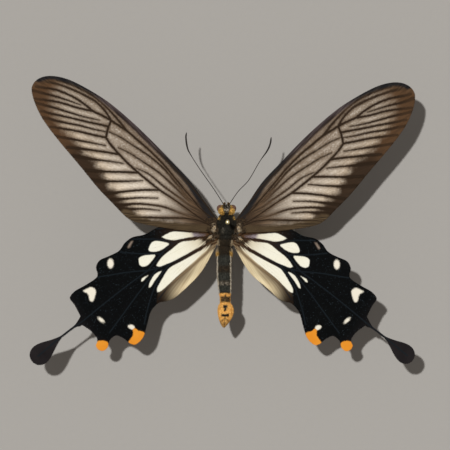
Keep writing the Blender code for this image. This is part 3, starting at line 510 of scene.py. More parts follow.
class Output:
    """What a shader node gives from place to place. Each sum written with it adds a node of its own."""

    def __init__(self, tree, socket):
        self.tree, self.socket = tree, socket

    def combined(self, operation, other):
        """This number and another, put together by one of the Math node's operations."""
        return add(self.tree, "Math", {0: self, 1: other}, operation=operation)

    def __add__(self, other):
        return self.combined("ADD", other)

    def __sub__(self, other):
        return self.combined("SUBTRACT", other)

    def __mul__(self, other):
        return self.combined("MULTIPLY", other)

    def step(self, low, high):
        """A smooth step of this number, from 0 at low to 1 at high; low may lie above high."""
        values = {"Value": self, "From Min": low, "From Max": high}
        return add(self.tree, "MapRange", values, interpolation_type="SMOOTHSTEP")


def add(tree, kind, values=None, output=0, **settings):
    """Adds one shader node; values go to its inputs, or are linked where they are another node's output.
    Gives the node's output of this number or name."""
    made = tree.nodes.new("ShaderNode" + kind)
    for key, value in settings.items():
        setattr(made, key, value)
    for key, value in (values or {}).items():
        if isinstance(value, Output):
            tree.links.new(value.socket, made.inputs[key])
        else:
            made.inputs[key].default_value = value
    return Output(tree, made.outputs[output])


def layers(tree, base, *coats):
    """A base colour under thin coats, each a pair of its share from 0 to 1 and its colour: every coat moves
    the colour below it towards its own by its share. A colour is sRGB hex, or comes from a node."""
    for share, coat in coats:
        below, above = (colour(tone) if isinstance(tone, str) else tone for tone in (base, coat))
        base = add(tree, "Mix", {0: share, 6: below, 7: above}, 2, data_type="RGBA")
    return base


def marks_on(tree, *names):
    """The numbers kept under these names on the piece's own points."""
    return [add(tree, "Attribute", output="Fac", attribute_name=name) for name in names]


def places_mm(tree, stretch=(1, 1, 1)):
    """The point's place in millimetres, stretched along each axis."""
    spot = add(tree, "TexCoord", output="Object")
    return add(tree, "Mapping", {"Vector": spot, "Scale": [1000 * s for s in stretch]})


def new_material(name):
    """An empty material with one surface shader. Gives the material and its tree."""
    material = bpy.data.materials.new(name)
    material.use_nodes = True
    return material, material.node_tree


def finished(material, base, rough, gloss=None, height=None, depth=0.0, strength=1.0, metallic=0.0):
    """The material with its shader's colour and plain values set, and a bump of `depth` millimetres from a
    height of 0 to 1."""
    tree = material.node_tree
    shader = tree.nodes["Principled BSDF"]
    tree.links.new(base.socket, shader.inputs["Base Color"])
    shader.inputs["Roughness"].default_value = rough
    shader.inputs["Metallic"].default_value = metallic
    if gloss is not None:
        shader.inputs["Specular IOR Level"].default_value = gloss
    if height is not None:
        bump = add(tree, "Bump", {"Height": height, "Distance": depth * MM, "Strength": strength})
        tree.links.new(bump.socket, shader.inputs["Normal"])
    return material


def smoky_membrane():
    """Forewing membrane thinly set with hair-like scales: grey-brown, with a painted satin sheen brightest
    inside the outer margin, and dark scales along the veins, the rays between them and the edges."""
    material, tree = new_material("smoky_scaled_membrane")
    places = places_mm(tree)
    fan, reach, rim, costa, inner, ray, vein, painted_sheen = marks_on(
        tree, "fan", "reach", "edge", "costa", "inner", "ray", "vein", "painted_sheen")
    # Hair-like scales run out from the wing's root, so their noise is stretched along the reach. They are too
    # fine to show one by one, and are drawn as strands 0.38 mm wide.
    outward_run = add(tree, "CombineXYZ", {0: fan, 1: reach * 0.06})
    values = {"Vector": outward_run, "Scale": 1 / 0.38, "Detail": 4.0, "Roughness": 0.65}
    threads = add(tree, "TexNoise", values)
    cloud = add(tree, "TexNoise", {**CLOUDY, "Vector": places, "Scale": 1 / 2.2, "Detail": 4.0})
    speck = add(tree, "TexNoise", {**CLOUDY, "Vector": places, "Scale": 1 / 0.35})
    dust = add(tree, "TexNoise", {**CLOUDY, "Vector": places, "Scale": 1 / 0.42, "Detail": 2.0})
    streaks = threads.step(0.36, 0.64)
    wobble = (speck - 0.5) * 0.5
    ragged = (cloud - 0.5) * 3.0
    apical = reach.step(43.0, 52.0)

    # Veins and rays widen towards the margin, though less so at the apex.
    widen = rim.step(5.5, 1.5) * (apical * -0.16 + 0.22)
    ray = ray + wobble - widen
    vein = vein + wobble - widen
    edge = rim + wobble * 2.0 + ragged
    inner = inner + wobble + ragged * 0.5
    costa = costa + wobble - reach.step(30.0, 9.0) * 0.35
    middle = reach.step(22.0, 32.0) * reach.step(54.0, 46.0)
    front = costa - reach.step(52.0, 60.0) * 0.5 - middle * 0.35
    # Painted sheen: the satin's highlight, strongest along its line and broken up by the strands and clouds.
    painted_sheen = (painted_sheen + (threads - 0.5) * 1.1 + (cloud - 0.5) * 0.6).step(-0.3, 1.4)

    # The membrane's own grey-brown, lifted towards a pale tone by the painted sheen.
    membrane_and_sheen = layers(tree, "#796958", (painted_sheen, "#E6D9C6"))
    warm_membrane_and_sheen = layers(tree, "#7B664F", (painted_sheen, "#E3D2BA"))
    tawny = layers(tree, "#302114", (threads, "#61452B"))
    border = layers(tree, "#1C130B", (threads, "#3F2D1C"), (apical, tawny))
    line = layers(tree, "#25180A", (rim.step(5.0, 1.0) * apical * 0.35, border))
    root_black = layers(tree, "#130E09", (streaks, "#4D3A28"))
    root_brown = layers(tree, "#22180F", (streaks, "#66503A"), (reach.step(12.0, 5.0), root_black))
    olive_brown = layers(tree, "#2B2013", (streaks, "#564630"))
    # Mauve-grey along the middle of the front edge: partly its own scales, partly painted sheen.
    grey = layers(tree, "#221B1B", (streaks, "#4E4342"))
    front_black = layers(tree, "#0F0F11", (streaks, "#24211F"), (middle, grey))
    base = layers(
        tree, membrane_and_sheen,
        (rim.step(9.0, 4.0), warm_membrane_and_sheen),
        (dust.step(0.54, 0.68) * 0.25, "#F4EFE6"),
        (dust.step(0.46, 0.32) * 0.2, "#43342A"),
        # Browner near each vein and ray: partly their real dark scales, partly painted shade against the
        # sheen between them.
        (ray.combined("MINIMUM", vein).step(1.2, 0.3) * 0.6, "#574532"),
        (rim.step(12.0, 3.0) * reach.step(52.0, 62.5), border),
        (edge.step(5.2, 2.0), border),
        (ray.step(0.56, 0.16), line),
        (vein.step(0.5, 0.14), line),
        (reach.step(26.0, 7.0), root_brown),
        (inner.step(2.7, 1.4), olive_brown),
        (costa.step(4.2, 2.0) * 0.3, root_brown),
        (front.step(2.0, 1.2), front_black),
    )
    scales = add(tree, "TexVoronoi", {"Vector": places, **SCALE_ROWS})
    return finished(material, base, 0.6, 0.06, threads + scales, 0.03, 0.6)


def windowed_membrane():
    """Hindwing membrane under deep blue-black scales, with cream windows, pale spots, orange lobes and a
    beige fold along the body; hair darkens it towards the root."""
    material, tree = new_material("windowed_black_membrane")
    places = places_mm(tree)
    fan, reach, vein, fold, fold_root, cream, bare, pale, faint, orange = marks_on(
        tree, "fan", "reach", "vein", "fold", "fold_root", "cream", "bare", "pale", "faint", "orange")
    # The hair runs out from the wing's root like the forewing's scales, and is drawn as strands 0.6 mm wide.
    outward_run = add(tree, "CombineXYZ", {0: fan, 1: reach * 0.05})
    threads = add(tree, "TexNoise", {**CLOUDY, "Vector": outward_run, "Scale": 1 / 0.6})
    streaks = threads.step(0.36, 0.64)
    cloud = add(tree, "TexNoise", {**CLOUDY, "Vector": places, "Scale": 1 / 4.0})
    dust = add(tree, "TexNoise", {**CLOUDY, "Vector": places, "Scale": 1 / 0.3, "Detail": 1.0})
    speck = add(tree, "TexNoise", {**CLOUDY, "Vector": places, "Scale": 1 / 0.22, "Detail": 2.0})
    wobble = (speck - 0.5) * 0.35
    frayed = cream + wobble + (threads - 0.5) * 3.2 * reach.step(11.0, 6.0)
    rooty = reach + (threads - 0.5) * 9.0

    black = layers(tree, "#030405", (cloud, "#090A0A"))
    club_black = layers(tree, "#121011", (cloud, "#272324"))
    brown = layers(tree, "#1C120B", (threads, "#4B3626"))
    root_brown = layers(tree, "#22140A", (streaks, "#573F29"))
    amber = layers(tree, "#D17A18", (cloud, "#E49A36"))
    beige = layers(
        tree, "#A99472",
        (threads.step(0.2, 0.8), "#EADAB2"),
        (fold_root.step(0.9, 0.0), "#7A674F"),
        (fold_root.step(3.2, 0.6) * reach.step(10.0, 20.0) * 0.75, "#4A3B2D"),
        (reach.step(20.0, 27.5), "#1E150E"),
    )
    window = layers(
        tree, "#E6E1C8",
        (cloud, "#EBE9DC"),
        (threads.step(0.52, 0.7) * reach.step(26.0, 8.0) * 0.4, "#A08F70"),
        (dust.step(0.6, 0.72) * 0.22, "#8C8270"),
        (reach.step(14.0, 5.0), "#C9BCA0"),
        (bare.step(0.15, 0.75), "#8B7F83"),
    )
    base = layers(
        tree, black,
        (dust.step(0.66, 0.76), "#303A40"),
        (reach.step(44.0, 54.0), club_black),
        ((vein + wobble).step(0.3, 0.05), "#161C20"),
        (reach.step(21.0, 6.0), brown),
        ((fold + wobble).step(-0.2, 0.3), beige),
        (frayed.step(-0.14, 0.2), window),
        (rooty.step(8.5, 5.0), root_brown),
        ((pale + wobble * 1.8).step(-0.2, 0.3), "#E4DDCB"),
        ((faint + wobble * 1.8).step(-0.25, 0.45), "#8A7A6C"),
        ((orange + wobble * 1.8).step(-0.14, 0.2), amber),
    )
    scales = add(tree, "TexVoronoi", {"Vector": places, **SCALE_ROWS})
    return finished(material, base, 0.7, 0.03, scales, 0.03, 0.6)


def vein_chitin():
    """Hollow wing vein of dark brown chitin, faintly ringed: it stands above the membrane on both faces."""
    material, tree = new_material("vein_chitin")
    lumps = add(tree, "TexNoise", {**CLOUDY, "Vector": places_mm(tree), "Scale": 1 / 0.4})
    return finished(material, layers(tree, "#1A120A", (lumps, "#352616")), 0.55, 0.08, lumps, 0.02)


def scaled_vein():
    """Hindwing vein closely covered with scales: black, just lighter than the wing, and brown near the root
    and over the fold."""
    material, tree = new_material("scaled_vein")
    reach, fold = marks_on(tree, "reach", "fold")
    lumps = add(tree, "TexNoise", {**CLOUDY, "Vector": places_mm(tree), "Scale": 1 / 0.3})
    fold_brown = layers(tree, "#6A5741", (lumps, "#8E7A5C"))
    base = layers(
        tree, "#0A0D0F",
        (lumps, "#182026"),
        (reach.step(20.0, 6.0), "#2E1F14"),
        (fold.step(-0.9, -0.2) * reach.step(25.0, 19.0), fold_brown),
    )
    return finished(material, base, 0.65, 0.05, lumps, 0.02)


def coat_colours(tree, dark_low, dark_high):
    """The body's colours from its marks: dark, then each of the coat's tones by its amount on the points."""
    values = {"Vector": places_mm(tree), "Scale": 1 / 0.4, "Detail": 4.0, "Roughness": 0.65}
    lumps = add(tree, "TexNoise", values).step(0.28, 0.72)
    base = layers(tree, dark_low, (lumps, dark_high))
    for amount, (low, high) in zip(marks_on(tree, *COAT_TONES), COAT_TONES.values()):
        base = layers(tree, base, (amount, layers(tree, low, (lumps, high))))
    return base


def body_cuticle():
    """Body cuticle under its coat: black, pale along the sides, orange at the end, with fine scale rows."""
    material, tree = new_material("body_cuticle")
    base = coat_colours(tree, "#0F0F0D", "#24231F")
    scales = add(tree, "TexVoronoi", {"Vector": places_mm(tree), **SCALE_ROWS})
    return finished(material, base, 0.6, 0.1, scales, 0.04, 0.8)


def body_hair():
    """Fine hair-like scales of the body, coloured as the cuticle at each root and slightly lighter."""
    material, tree = new_material("body_hair")
    return finished(material, coat_colours(tree, "#15130E", "#37332A"), 0.6, 0.15)


def eye_facets():
    """Compound eye: glossy red-brown lenses over darker pigment. The real facets are finer than the render
    can show, so they are drawn about twice as wide, at 0.055 mm."""
    material, tree = new_material("eye_facets")
    places = places_mm(tree)
    facets = add(tree, "TexVoronoi", {"Vector": places, **FACETS})
    pigment = add(tree, "TexNoise", {**CLOUDY, "Vector": places, "Scale": 1 / 0.9})
    base = layers(tree, "#3F2B22", (pigment, "#84604E"))
    return finished(material, base, 0.3, 0.35, facets, -0.02, 0.7)


def leg_chitin():
    """Dark chitin of the legs and feelers with a waxy gloss and fine pits."""
    material, tree = new_material("leg_chitin")
    lumps = add(tree, "TexNoise", {**CLOUDY, "Vector": places_mm(tree), "Scale": 1 / 0.25})
    return finished(material, layers(tree, "#0E0C0B", (lumps, "#2A231D")), 0.45, 0.2, lumps, 0.02)


def pin_metal():
    """Lacquered brass of the insect pin, drawn wire with a rolled head: pale gold where it catches light."""
    material, tree = new_material("pin_brass")
    drawn = add(tree, "TexNoise", {**CLOUDY, "Vector": places_mm(tree, (1, 1, 0.1)), "Scale": 1 / 0.2})
    return finished(material, layers(tree, "#D9C88E", (drawn, "#F4E8BE")), 0.28, metallic=1.0)


def painted_wood():
    """Matt pale grey paint over the softwood of the block: long fibres show faintly through it."""
    material, tree = new_material("painted_wood")
    places = places_mm(tree, (0.07, 1, 1))
    fibres = add(tree, "TexNoise", {"Vector": places, "Scale": 1 / 0.5, "Detail": 4.0, "Roughness": 0.6})
    return finished(material, layers(tree, "#98958E", (fibres, "#B6B3AB")), 0.85, 0.2, fibres, 0.06)


def backing_card():
    """Plain matt card under the specimen, a warm grey with a faint fibre."""
    material, tree = new_material("backing_card")
    fibre = add(tree, "TexNoise", {**CLOUDY, "Vector": places_mm(tree), "Scale": 1 / 1.5})
    return finished(material, layers(tree, "#9F9C97", (fibre, "#A19E99")), 0.95, 0.02)


MEMBRANES = {"forewing": smoky_membrane(), "hindwing": windowed_membrane()}
VEIN_SURFACES = {"forewing": vein_chitin(), "hindwing": scaled_vein()}
WING_SLOTS = {"forewing": "wing_smoky", "hindwing": "wing_black"}
VEINS = {"forewing": FOREWING_VEINS, "hindwing": HINDWING_VEINS}
CUTICLE = body_cuticle()
HAIR = body_hair()
EYE = eye_facets()
CHITIN = leg_chitin()
BRASS = pin_metal()


def reach_and_fan(points):
    """Each wing point's distance from the wing's root, and its angle there as an arc of 40 mm radius."""
    offset = points - np.array([1.0, -1.0])
    return np.linalg.norm(offset, axis=1), np.arctan2(offset[:, 1], offset[:, 0]) * 40


def forewing_marks(points):
    """Distances in millimetres to the forewing's veins, rays, costa, outer edge and inner margin, and the
    painted sheen's strength as a bell curve of the distance to its line."""
    reach, fan = reach_and_fan(points)
    costa = smooth_line([*FOREWING_COSTA, *FOREWING_APEX[:3]], MARK_STEP)
    outer = smooth_line([*FOREWING_APEX[2:], *FOREWING_TERMEN, FOREWING_INNER[0]], MARK_STEP)
    off_painted_sheen = distance_to_line(points, smooth_line(PAINTED_SHEEN_LINE, MARK_STEP)) / PAINTED_SHEEN_WIDTH
    ends = [np.array(ray[-2:]) for ray in MARGIN_RAYS]
    rays = [[*ray, tuple(end[1] + 1.2 * (end[1] - end[0]))] for ray, end in zip(MARGIN_RAYS, ends)]
    return {
        "reach": reach,
        "fan": fan,
        "vein": nearest_of(points, FOREWING_VEINS.values()),
        "ray": np.minimum(nearest_of(points, rays, 0.2), nearest_of(points, CELL_RAYS, 0.15) + 0.05),
        "costa": distance_to_line(points, costa) + 0.015 * reach,
        "edge": (distance_to_line(points, outer) + 0.9 * fade(points[:, 0], 37.0, 31.0)
                 - 0.5 * band(reach, 35.0, 42.0, 2.5)),
        "inner": distance_to_line(points, smooth_line(FOREWING_INNER, MARK_STEP)),
        # Painted sheen: a bell curve about its line, scaled by the distance out.
        "painted_sheen": np.exp(-(off_painted_sheen**2)) * np.interp(points[:, 0], PAINTED_SHEEN_OUT, PAINTED_SHEEN_BY),
    }


def oval(points, centre, half, turn=0.0):
    """How far inside an ellipse each point lies, in millimetres, negative outside."""
    c, s = math.cos(turn), math.sin(turn)
    offset = (points - centre) @ np.array([[c, s], [-s, c]]).T
    ratio = np.linalg.norm(offset / half, axis=1)
    return (1 - ratio) * min(half)


def hindwing_marks(points):
    """How far each point lies inside the hindwing's cream windows, pale spots, orange lobes and beige fold,
    with its distance to the veins."""
    reach, fan = reach_and_fan(points)
    pale = [inside_by(points, spot) for spot in PALE_SPOTS[1:]]
    pale += [oval(points, OVAL_SPOT, OVAL_HALF), oval(points, TILTED_SPOT, TILTED_HALF, TILTED_TURN)]
    disc = ORANGE_RADIUS - np.linalg.norm(points - ORANGE_DISC, axis=1)
    disc = np.minimum(disc, CAP_RADIUS - np.linalg.norm(points - ORANGE_CAP, axis=1))
    return {
        "reach": reach,
        "fan": fan,
        "vein": nearest_of(points, HINDWING_VEINS.values()),
        "cream": np.max([inside_by(points, patch) for patch in CREAM_PATCHES], axis=0),
        "pale": np.max(pale, axis=0),
        "orange": np.maximum(inside_by(points, ORANGE_LUNULE), disc),
        "faint": inside_by(points, PALE_SPOTS[0]),
        "fold": inside_by(points, BEIGE_FOLD),
        "bare": fade(points[:, 1], -4.7, -4.2) * fade(reach, 10.5, 7.0),
        "fold_root": distance_to_line(points, smooth_line(HINDWING_VEINS["anal"], MARK_STEP)),
    }


def wing_marks(points, kind, side):
    """A wing's marks, with what only its own side has."""
    marks = forewing_marks(points) if kind == "forewing" else hindwing_marks(points)
    if (kind, side) == ("forewing", "right"):
        # Less painted sheen on the right forewing.
        marks["painted_sheen"] = marks["painted_sheen"] * RIGHT_PAINTED_SHEEN
        marks["edge"] = marks["edge"] - RIGHT_BORDER * fade(marks["reach"], 47.0, 40.0)
    if (kind, side) == ("forewing", "left"):
        marks["edge"] = marks["edge"] + LEFT_BORDER * band(marks["reach"], 49.0, 60.0, 3.0)
    return marks


def relief(kind, marks):
    """The membrane's own folds: crests along the veins and furrows along the rays between them."""
    lift = 0.05 * np.exp(-((marks["vein"] / 0.7) ** 2))
    if kind == "forewing":
        lift = lift - 0.06 * np.exp(-((marks["ray"] / 0.6) ** 2))
    return lift


def fringe_scales(outline, kind, side):
    """Flat scales along the wing's edge, each a thin wedge pointing outward, a little uneven in length and
    shorter along the front edge."""
    random = np.random.default_rng(11)
    ring = np.vstack([outline, outline[:1]])
    run = run_lengths(ring)
    spots = np.arange(0, run[-1], FRINGE_STEP)
    spots = spots + random.uniform(-0.03, 0.03, len(spots))
    edge = np.column_stack([np.interp(spots, run, ring[:, i]) for i in (0, 1)])
    ahead = np.column_stack([np.interp(spots + 0.2, run, ring[:, i]) for i in (0, 1)]) - edge
    ahead /= np.maximum(np.linalg.norm(ahead, axis=1), 1e-9)[:, None]
    out = np.column_stack([ahead[:, 1], -ahead[:, 0]])
    middle_turn = np.cross(ring[1:] - ring[:-1], ring[:-1] - ring.mean(0)).sum()
    out = out if middle_turn < 0 else -out
    keep = edge[:, 0] > 3.0
    edge, ahead, out = edge[keep], ahead[keep], out[keep]
    length = random.uniform(0.75, 1.0, len(edge)) * (1 - 0.65 * fade(out[:, 1], 0.1, 0.5))
    length = FRINGE * length[:, None]
    lean = random.uniform(-0.25, 0.25, len(edge))[:, None]
    rows = [edge - out * 0.12 - ahead * 0.06, edge - out * 0.12 + ahead * 0.06,
            edge + out * length * 0.7 + ahead * (0.05 + lean * 0.2), edge + out * length + ahead * lean * 0.3,
            edge + out * length * 0.7 - ahead * (0.05 - lean * 0.2)]
    flat = np.stack(rows, axis=1).reshape(-1, 2)
    upper, lower = (wing_place(flat, kind, side, lift) for lift in (0.025, -0.025))
    face = np.arange(len(edge))[:, None] * 5 + np.arange(5)
    under = face[:, ::-1] + len(flat)
    after = np.roll(face, -1, axis=1)
    sides = np.stack([face, face + len(flat), after + len(flat), after], axis=-1).reshape(-1, 4)
    if side == "left":
        face, under, sides = face[:, ::-1], under[:, ::-1], sides[:, ::-1]
    marks = {key: np.concatenate([values, values]) for key, values in wing_marks(flat, kind, side).items()}
    low, high = outline.min(0), outline.max(0)
    places = map_patches((edge - low) / (high - low), FRINGE_PATCH)
    return np.vstack([upper, lower]), [face, under, sides], marks, np.vstack([places, places])


def make_wing(kind, side, outline, sheet):
    """A wing as two faces of membrane over one lattice, closed by a rim, with its veins as tapering tubes
    half sunk in it and a fringe of edge scales."""
    surface, slot = MEMBRANES[kind], WING_SLOTS[kind]
    flat, faces = sheet
    marks = wing_marks(flat, kind, side)
    lift = relief(kind, marks)
    upper, lower = (wing_place(flat, kind, side, lift + half) for half in (MEMBRANE / 2, -MEMBRANE / 2))
    count = len(flat)
    edges = np.vstack([faces[:, [0, 1]], faces[:, [1, 2]], faces[:, [2, 0]]])
    codes = edges[:, 0] * count + edges[:, 1]
    rim = edges[~np.isin(codes, edges[:, 1] * count + edges[:, 0])]
    sides = np.column_stack([rim[:, 1], rim[:, 0], rim[:, 0] + count, rim[:, 1] + count])
    shell = [faces, faces[:, ::-1] + count, sides]
    points = np.vstack([upper, lower])
    if side == "left":
        shell = [group[:, ::-1] for group in shell]
    both = {key: np.concatenate([values, values]) for key, values in marks.items()}
    nodes = [f"{kind}_{side}"] + ([f"tail_{side}"] if kind == "hindwing" else [])
    new_piece(f"{kind}_membrane_{side}", points, shell, surface, nodes, both, crease=50)
    tubes, folds, reaches = [], [], []
    for line in VEINS[kind].values():
        route = smooth_line(line, 0.3)
        reach, _ = reach_and_fan(route)
        radii = np.interp(reach, VEIN_REACH, VEIN_RADII)
        tubes.append(tube(wing_place(route, kind, side, 0.03), radii, VEIN_SIDES))
        folds.append(np.concatenate([inside_by(route, BEIGE_FOLD).repeat(VEIN_SIDES), [0.0, 0.0]]))
        reaches.append(np.concatenate([reach.repeat(VEIN_SIDES), [reach[0], reach[-1]]]))
    points, faces = joined(tubes)
    vein_marks = {"fold": np.concatenate(folds), "reach": np.concatenate(reaches)}
    new_piece(f"{kind}_veins_{side}", points, faces, VEIN_SURFACES[kind], (), vein_marks)
    points, faces, marks, places = fringe_scales(outline, kind, side)
    new_piece(f"{kind}_fringe_{side}", points, faces, surface, (), marks, places)


for wing_kind, wing_outline in wing_outlines().items():
    wing_sheet = lattice_sheet(wing_outline)
    for wing_side in SIDES:
        make_wing(wing_kind, wing_side, wing_outline, wing_sheet)

# The body's rows: y, half-width, half-height, z of the middle, all inside the solids by the coat's depth.
HEAD_ROWS = [(4.6, 0.55, 0.45, -0.15), (4.47, 1.15, 0.95, -0.1), (4.25, 1.65, 1.25, 0),
             (3.85, 2.02, 1.4, 0), (3.3, 2.22, 1.45, 0), (2.9, 2.2, 1.4, 0), (2.6, 2.0, 1.25, 0),
             (2.3, 1.5, 1.1, 0)]
THORAX_ROWS = [(2.0, 1.25, 1.2, 0.3), (1.7, 1.65, 1.6, 0.2), (1.2, 1.92, 1.95, 0.1), (0.3, 2.28, 2.4, 0),
               (-0.9, 2.48, 2.7, 0), (-2.2, 2.4, 2.7, 0), (-3.3, 2.12, 2.45, 0), (-3.6, 2.0, 2.3, 0.05),
               (-4.1, 1.95, 2.2, 0.1), (-4.6, 1.82, 2.02, 0.05), (-5.2, 1.8, 1.95, 0),
               (-5.8, 1.7, 1.85, 0), (-6.3, 1.5, 1.6, 0)]
SEGMENT_ENDS = [ABDOMEN_START, -8.6, -11.4, -14.1, -16.6, -18.8, -20.7, -22.4]
COAT_DEPTH = 0.12
ABDOMEN_HALF_WIDTH = 1.88
# The abdomen's end hangs a little lower, and its markings are set about this x.
END_DROP, END_X = 0.1, -0.65
END_ROWS = [(-22.9, 1.45, 1.4), (-23.6, 1.5, 1.35), (-24.6, 1.3, 1.2), (-25.6, 0.95, 0.9),
            (-26.5, 0.45, 0.5)]
CLASPER_ROWS = [(-22.75, 1.5, 1.45), (-23.6, 2.0, 1.8), (-24.7, 2.25, 1.95), (-26.0, 2.1, 1.85),
                (-27.4, 1.6, 1.45), (-28.8, 0.82, 0.85), (-29.5, 0.25, 0.35)]
SEAM_X, SEAM_Y, SEAM_SLANT = -0.83, -26.2, math.tan(math.radians(1.15))


def body_x(y):
    """The body's middle line, which bows to the specimen's left behind the pin, rounded over 1.2 mm."""
    rearward, x = -np.array(BODY_LINE)[:, 0], np.array(BODY_LINE)[:, 1]
    return np.mean([np.interp(shift - y, rearward, x) for shift in (-0.6, 0.0, 0.6)], axis=0)


def aside(points):
    """Each point's distance sideways from the body's middle line."""
    return np.abs(points[..., 0] - body_x(points[..., 1]))


def abdomen_middle(y):
    """The height of the abdomen's middle, which sags evenly behind the waist."""
    return THORAX_Z - ABDOMEN_SAG * (ABDOMEN_START - y)


def abdomen_rows():
    """The abdomen's rows: narrow at the waist, tapering behind, each ring swelling towards its rear edge."""
    ends = np.array(SEGMENT_ENDS)
    y = np.arange(ends[0], ends[-1], -0.08)
    width = ABDOMEN_HALF_WIDTH * (1 - 0.16 * np.exp(-((y - ABDOMEN_START) ** 2) / 0.7))
    width *= 1 - 0.22 * np.clip((-y - 14) / 8.5, 0, 1) ** 1.5
    index = np.clip(np.searchsorted(-ends, -y, side="right") - 1, 0, len(ends) - 2)
    share = (ends[index] - y) / (ends[index] - ends[index + 1])
    width *= np.interp(share, [0, 0.04, 0.25, 0.93, 1.0], [0.93, 0.965, 1.0, 1.035, 0.99])
    width -= COAT_DEPTH
    return np.column_stack([y, width, 1.05 * width, abdomen_middle(y)])


def skin_rings():
    """The body's one skin as rings of points, from the face through the neck, thorax, waist and abdomen."""
    head = smooth_line(HEAD_ROWS, 0.1) + [0, 0, 0, HEAD_Z]
    thorax = smooth_line(THORAX_ROWS, 0.1) + [0, 0, 0, THORAX_Z]
    end = np.array(END_ROWS)
    end = smooth_line(np.column_stack([end, abdomen_middle(end[:, 0]) - END_DROP]), 0.1)
    rows = np.vstack([head, thorax, abdomen_rows(), end])
    turn = np.linspace(0, 2 * np.pi, 96, endpoint=False)
    y, width, high, middle = rows.T[:, :, None]
    suture = 1 - 0.05 * np.exp(-(((y + 3.45) / 0.22) ** 2)) * (np.sin(turn) > 0)
    power = 1 - 0.28 * band(y, 2.6, 4.0, 0.4)
    x = body_x(y) + width * np.sign(np.cos(turn)) * np.abs(np.cos(turn)) ** power * suture
    z = middle + high * np.sign(np.sin(turn)) * np.abs(np.sin(turn)) ** power * suture
    return np.stack([x, np.broadcast_to(y, x.shape), z], axis=-1)


def clasper_rings(side):
    """One valve at the abdomen's end: an oval row about the middle line, of which only its own side of the
    slanted seam is kept and the rest is pressed flat against the seam."""
    rows = smooth_line(CLASPER_ROWS, 0.12)
    turn = np.linspace(0, 2 * np.pi, 64, endpoint=False)
    y, width, high = rows.T[:, :, None]
    seam = SEAM_X + SEAM_SLANT * (y - SEAM_Y)
    x = seam + SIDES[side] * np.maximum(SIDES[side] * (body_x(y) + width * np.cos(turn) - seam), 0.03)
    z = abdomen_middle(y) - END_DROP + high * np.sin(turn)
    return np.stack([x, np.broadcast_to(y, x.shape), z], axis=-1)


